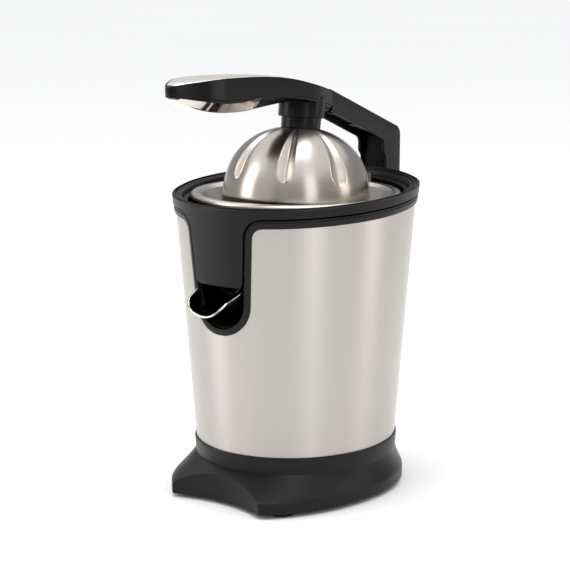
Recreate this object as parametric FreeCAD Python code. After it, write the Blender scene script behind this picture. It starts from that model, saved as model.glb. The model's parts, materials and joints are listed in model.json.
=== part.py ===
import FreeCAD, Part
import math
import os

# Lever-type citrus press: an oval stainless body on a black plinth, a lift-out juice collector with a
# steel pulp filter, a powered reamer on a central shaft, and a hinged arm with a domed press cup.
# Millimetres. Origin on the table under the reamer axis. +Z up, -Y is the front with the spout, and
# +X is the user's right when standing behind the machine. The arm stands a few degrees open.

os.makedirs("parts", exist_ok=True)
V = FreeCAD.Vector
X_AXIS = V(1, 0, 0)
Y_AXIS = V(0, 1, 0)
Z_AXIS = V(0, 0, 1)

# --- driving dimensions ---------------------------------------------------------------------------
SHELL_Z0 = 41.0          # where the steel leaves the plinth
SHELL_HALF_Y = 86.4      # half length of the oval there
SHELL_HALF_X = 80.6      # half width of the oval there
FLARE = 0.0752           # how much both halves grow per mm of height
SHELL_T = 1.0            # steel thickness

RIM_TILT = 2.14          # the top edge rises to the rear by this many degrees
TILT_Z = 240.0           # height on the reamer axis that the tilt turns about
STEEL_TOP = 233.0        # visible top of the steel, on the reamer axis
TRIM_H = 6.4             # trim band height
TRIM_W = 5.0             # trim band width beside the notch
GROOVE = 1.0             # shadow gap between the trim and the collector
RIM_TOP = 247.4          # top of the collector rim on the reamer axis

NOTCH_TOP_HALF = 32.4    # notch half width at the top
NOTCH_LOW_HALF = 27.9    # and where its round bottom starts
NOTCH_LOW_Z = 173.1      # height of that level, before the tilt
NOTCH_CORNER = 9.0       # radius of the steel corners beside the notch

FOOT_H = 3.5             # rubber feet
FACET_TOP = 12.9         # top of the upright plinth edge
NECK_Z0 = 29.0           # bottom of the plinth's neck band
NECK_TOP = 42.7
PLINTH_HALF_X = 87.3
PLINTH_REAR = 93.5
PLINTH_FRONT = 122.0     # before the glass cut
GLASS_R = 117.0          # radius of the glass cut
GLASS_Y = -95.0          # deepest point of the glass cut

CUP_TILT = 6.0           # lean of the cup axis in this position
CUP_BASE = V(0, 0, 237.3)  # centre of the cup's steel edge
CUP_R = 60.2
CUP_H = 58.9
CUP_POWER = 2.25         # superellipse exponent of the dome
LINER_DROP = 5.5         # black lip below the steel edge
NECK_R = 16.1
COLLAR_R = 19.0
PIN_H = 72.0             # cup pivot above the steel edge

HINGE = V(0, 115.5, 222.0)
EAR_R = 12.0
ARM_HALF = 14.0
PADDLE_HALF = 20.0

FLOOR_Z = 196.0          # collector floor on the reamer axis
SHAFT_R = 5.0
RUN_FIT = 0.03           # radial clearance of a shaft in its bush
HEX_AF = 8.0             # drive hexagon across flats
PRESS_TRAVEL = 2.5
CONE_BASE_Z = 208.0
CONE_TOP_Z = 274.0
CONE_R = 36.0
FILTER_R = 85.0
FILTER_TOP = 244.8

FINE_MODULE = 0.8
COARSE_MODULE = 1.25
PINION_TEETH = 10
IDLER_BIG = 60
IDLER_SMALL = 12
OUTPUT_TEETH = 54
IDLER_ANGLE = 20.0       # direction of the idler from the reamer axis
MOTOR_ANGLE = 180.0      # direction of the motor from the idler

SPOUT_R = 22.0
SPOUT_Z = 180.0
SPOUT_T = 1.2
SPOUT_PIN = V(0, -78.0, 181.5)


# --- helpers --------------------------------------------------------------------------------------
def save(name, shape):
    """Write one sub-part as a STEP file and report its solids."""
    if shape.ShapeType != "Solid" and len(shape.Solids) == 1:
        shape = shape.Solids[0]
    shape.exportStep("parts/" + name + ".step")
    print(name, len(shape.Solids), "solids", round(shape.Volume / 1000.0, 2), "cm3", shape.isValid())


def cyl(r, z0, z1, x=0.0, y=0.0):
    return Part.makeCylinder(r, z1 - z0, V(x, y, z0))


def ring(r_out, r_in, z0, z1, x=0.0, y=0.0):
    return cyl(r_out, z0, z1, x, y).cut(cyl(r_in, z0 - 1, z1 + 1, x, y))


def box(x0, x1, y0, y1, z0, z1):
    return Part.makeBox(x1 - x0, y1 - y0, z1 - z0, V(x0, y0, z0))


def rod_x(r, x0, x1, y, z):
    return Part.makeCylinder(r, x1 - x0, V(x0, y, z), X_AXIS)


def rod_y(r, y0, y1, x, z):
    return Part.makeCylinder(r, y1 - y0, V(x, y0, z), Y_AXIS)


def fuse(shapes):
    whole = shapes[0].multiFuse(shapes[1:])
    return whole.removeSplitter()


def group(shapes):
    return Part.makeCompound(shapes)


def outline(points, place):
    """Closed wire through (u, v, radius) corners, each rounded by its radius. place maps u, v to 3-D."""
    edges = []
    ends = []
    count = len(points)
    for i in range(count):
        u, v, r = points[i]
        pu, pv = points[i - 1][0], points[i - 1][1]
        nu, nv = points[(i + 1) % count][0], points[(i + 1) % count][1]
        a = (V(pu, pv, 0) - V(u, v, 0)).normalize()
        b = (V(nu, nv, 0) - V(u, v, 0)).normalize()
        corner = V(u, v, 0)
        half = a.getAngle(b) / 2.0
        if r <= 0:
            ends.append((corner, None, corner))
            continue
        reach = r / math.tan(half)
        middle = (a + b).normalize() * (r / math.sin(half) - r)
        ends.append((corner + a * reach, corner + middle, corner + b * reach))
    for i in range(count):
        start, middle, stop = ends[i]
        if middle is not None:
            edges.append(Part.Arc(place(start), place(middle), place(stop)).toShape())
        following = ends[(i + 1) % count][0]
        if (following - stop).Length > 1e-6:
            edges.append(Part.LineSegment(place(stop), place(following)).toShape())
    return Part.Wire(edges)


def plate_x(points, x0, x1):
    """Solid between two x values whose side outline is given as (y, z, radius)."""
    wire = outline(points, lambda p: V(x0, p.x, p.y))
    return Part.Face(wire).extrude(V(x1 - x0, 0, 0))


def plate_y(points, y0, y1):
    """Solid between two y values whose front outline is given as (x, z, radius)."""
    wire = outline(points, lambda p: V(p.x, y0, p.y))
    return Part.Face(wire).extrude(V(0, y1 - y0, 0))


def turned(points):
    """Solid of revolution about Z from (radius, z) corners."""
    wire = Part.makePolygon([V(r, 0, z) for r, z in points] + [V(points[0][0], 0, points[0][1])])
    return Part.Face(wire).revolve(V(0, 0, 0), Z_AXIS, 360)


def half_x(z, grow):
    return SHELL_HALF_X + (z - SHELL_Z0) * FLARE + grow


def half_y(z, grow):
    return SHELL_HALF_Y + (z - SHELL_Z0) * FLARE + grow


def oval_wire(hx, hy, z):
    edge = Part.Ellipse(V(0, 0, 0), hy, hx).toShape()
    edge.rotate(V(0, 0, 0), Z_AXIS, 90)
    edge.translate(V(0, 0, z))
    return Part.Wire([edge])


def oval(grow, z0, z1):
    """The body's flared oval column, grown or shrunk sideways by grow."""
    low = oval_wire(half_x(z0, grow), half_y(z0, grow), z0)
    high = oval_wire(half_x(z1, grow), half_y(z1, grow), z1)
    return Part.makeLoft([low, high], True, True)


def tilt(shape):
    turned_shape = shape.copy()
    turned_shape.rotate(V(0, 0, TILT_Z), X_AXIS, RIM_TILT)
    return turned_shape


def above(z):
    """Everything above a tilted level."""
    return tilt(box(-160, 160, -160, 160, z, z + 120))


def notch_points(inset, top, wide):
    """Front outline of the dark zone: a band that runs down into a round-ended notch."""
    level = STEEL_TOP + inset * TRIM_H / TRIM_W
    slope = (NOTCH_TOP_HALF - NOTCH_LOW_HALF) / (STEEL_TOP - NOTCH_LOW_Z)
    half_low = NOTCH_LOW_HALF - inset
    bottom = NOTCH_LOW_Z - half_low
    half_top = half_low + slope * (level - NOTCH_LOW_Z)
    half_bottom = half_low - slope * half_low
    round_r = half_low * 0.955
    corner = NOTCH_CORNER + inset
    right = [(half_bottom, bottom, round_r), (half_top, level, corner), (wide, level, 0), (wide, top, 0)]
    left = [(-u, v, r) for u, v, r in reversed(right)]
    return right + left


def dark_zone(inset):
    """Solid mask of the dark zone, edge moved inwards by inset, over the whole oval."""
    front = plate_y(notch_points(inset, 300, 150), -170, 0)
    level = STEEL_TOP + inset * TRIM_H / TRIM_W
    rear = box(-150, 150, -1, 170, level, 300)
    return tilt(front.fuse(rear))


def channel(inset, y0, y1, top):
    """Prism of the notch itself, its walls moved inwards by inset, up to a level."""
    slope = (NOTCH_TOP_HALF - NOTCH_LOW_HALF) / (STEEL_TOP - NOTCH_LOW_Z)
    half_low = NOTCH_LOW_HALF - inset
    bottom = NOTCH_LOW_Z - half_low
    half_top = half_low + slope * (top - NOTCH_LOW_Z)
    half_bottom = half_low - slope * half_low
    right = [(half_bottom, bottom, half_low * 0.955), (half_top, top, 0)]
    left = [(-u, v, r) for u, v, r in reversed(right)]
    return tilt(plate_y(right + left, y0, y1))


def cup_place(shape):
    """Move a shape made about Z, with the steel edge at zero, onto the leaning cup axis."""
    moved = shape.copy()
    moved.rotate(V(0, 0, 0), X_AXIS, -CUP_TILT)
    moved.translate(CUP_BASE)
    return moved


def involute_gear(module, teeth, z0, z1, x, y, phase, bore):
    """Spur gear with a tooth centred on the direction phase, in degrees."""
    pitch_r = module * teeth / 2.0
    base_r = pitch_r * math.cos(math.radians(20))
    tip_r = pitch_r + 0.85 * module
    root_r = pitch_r - 1.2 * module
    half_tooth = 0.43 * math.pi / teeth
    pressure = math.radians(20)
    pitch_inv = math.tan(pressure) - pressure
    flank = []
    for step in range(5):
        r = max(base_r, root_r) + (tip_r - max(base_r, root_r)) * step / 4.0
        angle = math.acos(min(1.0, base_r / r))
        flank.append((r, half_tooth + pitch_inv - (math.tan(angle) - angle)))
    points = []
    for tooth in range(teeth):
        centre = math.radians(phase) + 2 * math.pi * tooth / teeth
        points.append((root_r, centre - flank[0][1]))
        points.extend((r, centre - a) for r, a in flank)
        points.extend((r, centre + a) for r, a in reversed(flank))
        points.append((root_r, centre + flank[0][1]))
    corners = [V(x + r * math.cos(a), y + r * math.sin(a), z0) for r, a in points]
    clean = [corners[0]]
    for corner in corners[1:]:
        if (corner - clean[-1]).Length > 1e-4:
            clean.append(corner)
    wheel = Part.Face(Part.makePolygon(clean + [clean[0]])).extrude(V(0, 0, z1 - z0))
    if bore > 0:
        wheel = wheel.cut(cyl(bore, z0 - 1, z1 + 1, x, y))
    return wheel


def hexagon(across, z0, z1):
    r = across / math.sqrt(3.0)
    corners = [V(r * math.cos(math.radians(60 * i)), r * math.sin(math.radians(60 * i)), z0)
               for i in range(7)]
    return Part.Face(Part.makePolygon(corners)).extrude(V(0, 0, z1 - z0))


def screw(r_shank, length, r_head, head_h):
    """Pan-head screw, head up, shank down from zero."""
    shank = cyl(r_shank, -length, 0)
    head = cyl(r_head, 0, head_h)
    slot = box(-r_head * 0.7, r_head * 0.7, -0.4, 0.4, head_h * 0.5, head_h + 1)
    return shank.fuse(head).cut(slot)


def put(shape, place, axis=None, angle=0.0):
    moved = shape.copy()
    if axis is not None:
        moved.rotate(V(0, 0, 0), axis, angle)
    moved.translate(place)
    return moved


# --- plinth, plate and feet -----------------------------------------------------------------------
def plinth_wire(shrink, z):
    """Half oval behind, longer half oval in front."""
    hx = PLINTH_HALF_X - shrink
    rear = PLINTH_REAR - shrink
    front = PLINTH_FRONT - shrink
    back_edge = Part.Ellipse(V(0, 0, 0), rear, hx).toShape(-math.pi / 2, math.pi / 2)
    back_edge.rotate(V(0, 0, 0), Z_AXIS, 90)
    front_edge = Part.Ellipse(V(0, 0, 0), front, hx).toShape(math.pi / 2, 3 * math.pi / 2)
    front_edge.rotate(V(0, 0, 0), Z_AXIS, 90)
    wire = Part.Wire([back_edge, front_edge])
    wire.translate(V(0, 0, z))
    return wire


def split_oval_wire(hx, hy, z):
    """Oval in two halves, so that it lofts onto the plinth outline."""
    first = Part.Ellipse(V(0, 0, 0), hy, hx).toShape(-math.pi / 2, math.pi / 2)
    second = Part.Ellipse(V(0, 0, 0), hy, hx).toShape(math.pi / 2, 3 * math.pi / 2)
    first.rotate(V(0, 0, 0), Z_AXIS, 90)
    second.rotate(V(0, 0, 0), Z_AXIS, 90)
    wire = Part.Wire([first, second])
    wire.translate(V(0, 0, z))
    return wire


def plinth_body(shrink, z0, z_facet, z_neck, z1):
    """Upright edge, flared skirt and neck band as one ruled loft."""
    grow = 1.4 - shrink
    levels = [plinth_wire(shrink, z0), plinth_wire(shrink, z_facet)]
    for z in (z_neck, z1):
        levels.append(split_oval_wire(half_x(z, grow), half_y(z, grow), z))
    return Part.makeLoft(levels, True, True)


GLASS_CUT = cyl(GLASS_R, -5, 60, 0, GLASS_Y - GLASS_R)
shell_blank = oval(0, SHELL_Z0 - 3, 262).cut(oval(-SHELL_T, SHELL_Z0 - 4, 263))
shell_seat = oval(0, SHELL_Z0 - 3, 60)
plinth_wall = 3.0
plinth = plinth_body(0, FOOT_H, FACET_TOP, NECK_Z0, NECK_TOP).cut(GLASS_CUT)
plinth_room = plinth_body(plinth_wall, FOOT_H - 1, FACET_TOP - 1, NECK_Z0 - 1, NECK_TOP + 1)
glass_wall = cyl(GLASS_R + plinth_wall, -5, 60, 0, GLASS_Y - GLASS_R)
plinth = plinth.cut(plinth_room.cut(glass_wall)).cut(shell_seat)
inlet_z = 19.5
plinth = plinth.cut(rod_y(7.0, 70, 110, 0, inlet_z))

plate_low = Part.Face(plinth_wire(plinth_wall + 0.2, FOOT_H)).extrude(V(0, 0, 2.5))
plate = plate_low.cut(cyl(GLASS_R + plinth_wall + 0.2, -5, 60, 0, GLASS_Y - GLASS_R))
for row in range(6):
    y = 12.0 + 7.0 * row
    plate = plate.cut(box(-24, 24, y, y + 3, FOOT_H - 1, FOOT_H + 4))
foot_places = [(-50, -81), (50, -81), (-52, 62), (52, 62)]
feet = [cyl(8.5, 0, FOOT_H, x, y).fuse(cyl(3.0, FOOT_H, FOOT_H + 4.0, x, y)) for x, y in foot_places]
for x, y in foot_places:
    plate = plate.cut(cyl(3.0, 0, 20, x, y))
post_places = [(-54, 50), (54, 50), (-66, -20), (66, -20)]
base_screws = []
for x, y in post_places:
    plate = plate.cut(cyl(2.0, 0, 20, x, y))
    base_screws.append(put(screw(2.0, 12, 3.4, 1.8), V(x, y, FOOT_H), X_AXIS, 180))
inlet = rod_y(7.0, 82, 97.5, 0, inlet_z).fuse(rod_y(9.0, 95.0, 97.5, 0, inlet_z))
inlet = inlet.fuse(rod_y(9.0, 82, 84, 0, inlet_z)).cut(rod_y(3.6, 70, 110, 0, inlet_z)).cut(plinth)
save("base_plinth", plinth)
save("base_plate", plate)
save("rubber_feet", group(feet))
save("base_screws", group(base_screws))
save("cord_inlet", inlet)

# --- steel body, trim, recess ---------------------------------------------------------------------
shell = shell_blank.cut(dark_zone(1.5))
trim_mask = dark_zone(0).cut(dark_zone(TRIM_W))
trim = oval(1.8, 130, 262).cut(oval(-3.0, 129, 263)).common(trim_mask).cut(shell)
recess_top = 192.0
recess_rear = -50.0
recess = channel(TRIM_W - 1.8, -130, recess_rear + 2, recess_top)
recess = recess.cut(channel(TRIM_W, -140, recess_rear, recess_top + 20)).common(oval(-3.05, 120, 240))
for side in (-1, 1):
    recess = recess.cut(rod_x(1.56, min(20 * side, 30 * side), max(20 * side, 30 * side),
                              SPOUT_PIN.y, SPOUT_PIN.z))
save("trim_frame", trim)
save("spout_recess", recess)

# --- hinge bracket on the back --------------------------------------------------------------------
bracket_side = [(92, 176, 0), (110, 176, 6), (128, 204, 8), (128, 234.5, 12.4), (103, 234.5, 8), (92, 226, 0)]
bracket = plate_x(bracket_side, -15, 15).cut(oval(0.3, 150, 262)).cut(above(STEEL_TOP - 0.6))
bracket = bracket.cut(box(-10.2, 10.2, 102.6, 140, 203, 245)).cut(rod_x(3.0, -16, 16, HINGE.y, HINGE.z))
backplate = oval(-1.2, 176, 212).cut(oval(-3.4, 175, 213)).common(box(-17, 17, 60, 120, 176, 212))
pin = rod_x(3.0, -15, 15, HINGE.y, HINGE.z)
bracket_screws = []
for side in (-1, 1):
    spot = V(8.0 * side, 112.0, 188.0)
    hole = rod_y(2.0, 85, 113, spot.x, spot.z)
    bracket = bracket.cut(hole).cut(rod_y(3.5, 110, 140, spot.x, spot.z))
    backplate = backplate.cut(hole)
    shell = shell.cut(hole)
    bracket_screws.append(put(screw(2.0, 17, 3.4, 2.0), V(spot.x, 110, spot.z), X_AXIS, -90))
save("body_shell", shell)
save("hinge_bracket", bracket)
save("hinge_backplate", backplate)
save("hinge_pin", pin)
save("bracket_screws", group(bracket_screws))

# --- gear train and motor -------------------------------------------------------------------------
coarse_centres = COARSE_MODULE * (IDLER_SMALL + OUTPUT_TEETH) / 2.0
fine_centres = FINE_MODULE * (PINION_TEETH + IDLER_BIG) / 2.0
idler_x = coarse_centres * math.cos(math.radians(IDLER_ANGLE))
idler_y = coarse_centres * math.sin(math.radians(IDLER_ANGLE))
motor_x = idler_x + fine_centres * math.cos(math.radians(MOTOR_ANGLE))
motor_y = idler_y + fine_centres * math.sin(math.radians(MOTOR_ANGLE))
CASE_Z = 98.0
LID_Z = 128.0
DECK_Z = 131.0
case_room = fuse([cyl(37, CASE_Z + 3, LID_Z, 0, 0), cyl(27, CASE_Z + 3, LID_Z, idler_x, idler_y)])
case = fuse([cyl(39.5, CASE_Z, LID_Z, 0, 0), cyl(29.5, CASE_Z, LID_Z, idler_x, idler_y)]).cut(case_room)
case = case.fuse(cyl(9, CASE_Z + 3, CASE_Z + 10, 0, 0)).cut(cyl(5.06, CASE_Z + 2, LID_Z, 0, 0))
case = case.cut(cyl(7.0, CASE_Z - 1, LID_Z, motor_x, motor_y))
case = case.cut(cyl(2.5, CASE_Z - 1, LID_Z, idler_x, idler_y))
lid = fuse([cyl(39.5, LID_Z, DECK_Z, 0, 0), cyl(29.5, LID_Z, DECK_Z, idler_x, idler_y)])
lid = lid.cut(cyl(8.0, LID_Z - 1, DECK_Z + 1)).cut(cyl(2.5, LID_Z - 1, DECK_Z - 1, idler_x, idler_y))
lower_bush = ring(8.0, SHAFT_R + RUN_FIT, LID_Z, DECK_Z + 3)
idler_pin = cyl(2.5, CASE_Z, DECK_Z - 1, idler_x, idler_y)
idler = involute_gear(FINE_MODULE, IDLER_BIG, 104, 111, idler_x, idler_y, MOTOR_ANGLE, 2.53)
small = involute_gear(COARSE_MODULE, IDLER_SMALL, 111, 125, idler_x, idler_y,
                      IDLER_ANGLE + 180.0, 2.53)
idler = idler.fuse(small)
output = involute_gear(COARSE_MODULE, OUTPUT_TEETH, 116, 124, 0, 0,
                       IDLER_ANGLE + 180.0 / OUTPUT_TEETH, 0)
output = output.cut(ring(28, 14, 121, 125)).fuse(cyl(9, 113, 124)).cut(hexagon(9.0, 100, 140))
pinion = involute_gear(FINE_MODULE, PINION_TEETH, 103.5, 111.5, motor_x, motor_y,
                       MOTOR_ANGLE + 180.0 + 180.0 / PINION_TEETH, 2.0)
save("gear_case", case)
save("gear_cover", lid)
save("lower_bush", lower_bush)
save("idler_pin", idler_pin)
save("idler_gear", idler)
save("output_gear", output)
save("motor_pinion", pinion)

MOTOR_R = 36.0
upper_bell = cyl(MOTOR_R, 88, CASE_Z, motor_x, motor_y).cut(cyl(MOTOR_R - 3, 87, CASE_Z - 3, motor_x, motor_y))
upper_bell = upper_bell.cut(cyl(6.0, 80, 100, motor_x, motor_y))
lower_bell = cyl(MOTOR_R, 46, 54, motor_x, motor_y).cut(cyl(MOTOR_R - 3, 49, 60, motor_x, motor_y))
lower_bell = lower_bell.cut(cyl(6.0, 40, 60, motor_x, motor_y))
stator = ring(MOTOR_R, 19.5, 54, 88, motor_x, motor_y)
slots = []
bolt_holes = []
for i in range(12):
    angle = math.radians(30 * i)
    slots.append(cyl(3.6, 50, 92, motor_x + 25 * math.cos(angle), motor_y + 25 * math.sin(angle)))
for i in range(4):
    angle = math.radians(45 + 90 * i)
    bolt_holes.append(cyl(1.5, 40, 99, motor_x + 32.5 * math.cos(angle), motor_y + 32.5 * math.sin(angle)))
for slot in slots:
    stator = stator.cut(slot)
motor_bolts = []
for hole in bolt_holes:
    stator = stator.cut(hole)
    lower_bell = lower_bell.cut(hole)
    upper_bell = upper_bell.cut(hole)
    head = Part.makeCylinder(3.0, 2.5, V(hole.BoundBox.Center.x, hole.BoundBox.Center.y, 43.5))
    motor_bolts.append(hole.common(box(-90, 90, -90, 90, 46, 98)).fuse(head))
windings = [ring(29.5, 20.5, 49.5, 54, motor_x, motor_y), ring(29.5, 20.5, 88, 93, motor_x, motor_y)]
for slot in slots:
    windings.append(slot.common(box(-90, 90, -90, 90, 54, 88)))
windings_shape = windings[0].multiFuse(windings[1:])
rotor_core = ring(19.0, 3.0, 55, 87, motor_x, motor_y)
rotor_shaft = cyl(3.0, 36, 100, motor_x, motor_y).fuse(cyl(2.0, 100, 112, motor_x, motor_y))
fan = ring(8, 3.0, 37, 43, motor_x, motor_y)
for i in range(8):
    blade = put(box(7, 26, -0.8, 0.8, 37, 43), V(0, 0, 0), Z_AXIS, 45.0 * i)
    fan = fan.fuse(put(blade, V(motor_x, motor_y, 0)))
fan = fan.cut(cyl(3.0, 30, 50, motor_x, motor_y))
bushes = [ring(6.0, 3.03, 46, 51, motor_x, motor_y), ring(6.0, 3.03, 94, 98, motor_x, motor_y)]
save("motor_upper_bell", upper_bell)
save("motor_lower_bell", lower_bell)
save("motor_stator", stator)
save("stator_windings", windings_shape)
save("motor_bolts", group(motor_bolts))
save("motor_bushes", group(bushes))
save("rotor_core", rotor_core)
save("rotor_shaft", rotor_shaft)
save("rotor_fan", fan)

# --- inner chassis --------------------------------------------------------------------------------
deck_room = channel(-1.5, -150, recess_rear + 4, 260).fuse(box(-20, 20, 82, 120, 180, 192))
pieces = [oval(-2.6, 184, 187).cut(deck_room), oval(-2.6, DECK_Z, DECK_Z + 3).common(box(-72, 72, -40, 66, 100, 160))]
for x, y in post_places:
    pieces.append(cyl(5.5, FOOT_H + 2.5, 184, x, y))
pieces.append(cyl(8.6, 158, 210))
chassis = fuse(pieces).cut(cyl(8.0, 120, 140)).cut(cyl(6.2, 195.9, 230)).cut(cyl(5.6, 150, 200))
for x, y in post_places:
    chassis = chassis.cut(cyl(2.0, 0, 16, x, y))
upper_bush = ring(6.2, SHAFT_R + RUN_FIT, 196, 208)
seal = ring(8.6, 5.15, 210, 212).fuse(ring(6.2, 5.15, 208, 210))
lid_screws = []
for angle in (200, 290, 100):
    x = 34.5 * math.cos(math.radians(angle))
    y = 34.5 * math.sin(math.radians(angle))
    lid_screws.append(put(screw(1.5, 3.0, 3.0, 2.0), V(x, y, DECK_Z + 3)))
    chassis = chassis.cut(cyl(1.5, 120, 150, x, y))
save("inner_chassis", chassis)
save("upper_bush", upper_bush)
save("shaft_seal", seal)
save("chassis_screws", group(lid_screws))

# --- drive shaft, press spring, switch ------------------------------------------------------------
shaft = cyl(SHAFT_R, 126.8, 222).fuse(hexagon(HEX_AF, 110, 126.9)).fuse(cyl(4.0, 102.8, 110.2))
shaft = shaft.fuse(hexagon(HEX_AF, 222, 246)).fuse(cyl(7.0, 154, 156.5))
collar_z = 151.0
washer = ring(14.0, 5.4, collar_z, 153.8)
spring_low = DECK_Z + 3
turns = 5
pitch = (collar_z - spring_low - 1.4) / turns
helix = Part.makeHelix(pitch, pitch * turns, 10.2)
helix.translate(V(0, 0, spring_low + 0.7))
wire_section = Part.Wire([Part.Circle(V(10.2, 0, spring_low + 0.7), Y_AXIS, 0.65).toShape()])
spring = Part.Wire(helix.Edges).makePipeShell([wire_section], True, True)
switch = box(-30, -11.6, -5, 5, spring_low, spring_low + 9)
switch = switch.cut(cyl(1.25, 130, 160, -12.9, 0))
plunger = cyl(1.2, spring_low + 2.6, collar_z - 0.1, -12.9, 0)
save("drive_shaft", shaft)
save("thrust_washer", washer)
save("press_spring", spring)
save("micro_switch", switch)
save("switch_plunger", plunger)

# --- collector ------------------------------------------------------------------------------------
zone = dark_zone(TRIM_W + GROOVE)
below_rim = tilt(box(-160, 160, -160, 160, 100, RIM_TOP))
band_level = STEEL_TOP + (TRIM_W + GROOVE) * TRIM_H / TRIM_W
rim_outer = oval(2.3, 150, 270).common(below_rim)
band = rim_outer.common(above(band_level))
apron_low = 185.2
apron_mask = zone.common(above(apron_low)).common(box(-60, 60, -140, -40, 150, 260))
apron = rim_outer.common(apron_mask).cut(oval(0.2, 149, 271))
tub = oval(-4.0, 151, 272).common(above(FLOOR_Z - 2.5)).common(below_rim)
hollow_tub = oval(-6.2, 152, 273).common(above(FLOOR_Z))
ledge = oval(-5.0, 153, 274).cut(cyl(79.5, 150, 270)).common(box(-120, 120, -120, 120, 237.6, 240.4))
tower = cyl(11.6, FLOOR_Z - 6, 224)
elbow_y = -67.0
elbow_z = 184.0
elbow = cyl(13.0, elbow_z, FLOOR_Z - 2, 0, elbow_y).fuse(rod_y(13.0, -84, elbow_y, 0, elbow_z))
elbow = elbow.fuse(Part.makeSphere(13.0, V(0, elbow_y, elbow_z)))
elbow_bore = cyl(11.0, elbow_z, FLOOR_Z + 6, 0, elbow_y).fuse(rod_y(11.0, -90, elbow_y, 0, elbow_z))
elbow_bore = elbow_bore.fuse(Part.makeSphere(11.0, V(0, elbow_y, elbow_z)))
collector = tub.fuse(band).cut(hollow_tub)
for piece in (apron, ledge, tower, elbow):
    collector = collector.fuse(piece)
collector = collector.cut(elbow_bore).cut(cyl(9.3, 150, 240))
save("juice_collector", collector)

# --- pulp filter and reamer -----------------------------------------------------------------------
filter_profile = [(FILTER_R, 240.4), (FILTER_R, 242.6), (FILTER_R - 2.5, FILTER_TOP), (FILTER_R - 6, FILTER_TOP),
                  (77.0, 242.6), (72.5, 232.0), (65.5, 215.5), (61.5, 210.0), (56.0, 207.6), (38.3, 206.0),
                  (38.3, 212.0), (37.5, 212.0), (37.5, 205.2), (56.4, 206.8), (62.2, 209.4),
                  (66.3, 215.2), (73.3, 231.7), (78.0, 242.0), (FILTER_R - 5.7, 244.0),
                  (FILTER_R - 2.8, 244.0), (FILTER_R - 0.8, 242.2), (FILTER_R - 0.8, 240.4)]
pulp_filter = turned(filter_profile)
slot = box(40.5, 57.0, -0.7, 0.7, 200, 216)
slots = [put(slot, V(0, 0, 0), Z_AXIS, 10.0 * i) for i in range(36)]
pulp_filter = pulp_filter.cut(Part.makeCompound(slots))
tab = box(-13.8, 13.8, 82, FILTER_R + 1.8, 240.4, 250.5).cut(cyl(FILTER_R, 230, 260))
save("pulp_filter", pulp_filter)
save("filter_tab", tab)


def cone_radius(z, grow):
    """Ogive of the reamer: widest at its base, rounded at its tip."""
    k = max(0.0, (z - CONE_BASE_Z) / (CONE_TOP_Z - CONE_BASE_Z))
    return (CONE_R + grow) * (1.0 - k ** 1.9) ** 0.8


def cone_solid(grow, z0, lift):
    levels = [z0 + (CONE_TOP_Z - 1.0 - z0) * i / 14.0 for i in range(15)]
    side = [(cone_radius(z, grow), z + lift) for z in levels]
    return turned([(0, z0 + lift)] + side + [(0, CONE_TOP_Z + lift)])


cone = cone_solid(-3.5, CONE_BASE_Z, 0)
rib_room = cone_solid(0, CONE_BASE_Z, 0)
ribs = []
for i in range(10):
    rib = put(box(0, CONE_R + 2, -1.6, 1.6, CONE_BASE_Z, CONE_TOP_Z), V(0, 0, 0), Z_AXIS, 36.0 * i)
    ribs.append(rib.common(rib_room))
hollow = cone_solid(-6.5, CONE_BASE_Z - 1, -3)
cone = fuse([cone, cyl(CONE_R, CONE_BASE_Z, CONE_BASE_Z + 2.5)] + ribs).cut(hollow)
cone = cone.fuse(cyl(8.2, 226, 268)).cut(hexagon(HEX_AF + 0.4, 225, 247))
save("reamer_cone", cone)

# --- press cup ------------------------------------------------------------------------------------
def dome_side(radius, height, low, steps):
    """Superellipse side from the edge up to the crown, as (radius, height) corners."""
    side = []
    for i in range(steps + 1):
        h = height * math.sin(math.pi / 2 * i / steps)
        side.append((radius * max(0.0, 1.0 - (h / height) ** CUP_POWER) ** (1.0 / CUP_POWER), h))
    return [(radius, low)] + side[1:] if low < 0 else side


def dome(radius, height, low):
    side = dome_side(radius, height, low, 16)
    return turned([(0, low)] + side[:-1] + [(0, height)])


steel_cup = dome(CUP_R, CUP_H, 0).cut(dome(CUP_R - 1.0, CUP_H - 1.0, -0.5)).cut(cyl(14.0, 40, 80))
liner = dome(CUP_R - 1.02, CUP_H - 1.02, -0.5).cut(dome(CUP_R - 3.2, CUP_H - 3.2, -9))
liner = liner.cut(cyl(80, -2, 0).cut(cyl(CUP_R - 1.02, -3, 1)))
lip = ring(CUP_R, CUP_R - 3.2, -LINER_DROP, 0)
liner = liner.fuse(lip).cut(steel_cup)
neck = cyl(NECK_R, 50, 80).cut(dome(CUP_R, CUP_H, 0)).fuse(cyl(13.98, 56.5, 60)).cut(cyl(10.5, 40, 90))
neck = neck.cut(liner).cut(rod_x(2.55, -20, 20, 0, PIN_H))
save("press_cup", cup_place(steel_cup))
save("cup_liner", cup_place(liner))
save("cup_neck", cup_place(neck))

collar_low = 66.3
collar_top = 84.0
collar = ring(COLLAR_R, NECK_R + 1.2, collar_low, collar_top - 2).fuse(cyl(COLLAR_R, collar_top - 2, collar_top))
collar = collar.cut(rod_x(2.5, -20, 20, 0, PIN_H))
cup_pin = rod_x(2.5, -COLLAR_R + 0.8, COLLAR_R - 0.8, 0, PIN_H)
save("arm_collar", cup_place(collar))
save("cup_pin", cup_place(cup_pin))

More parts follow.
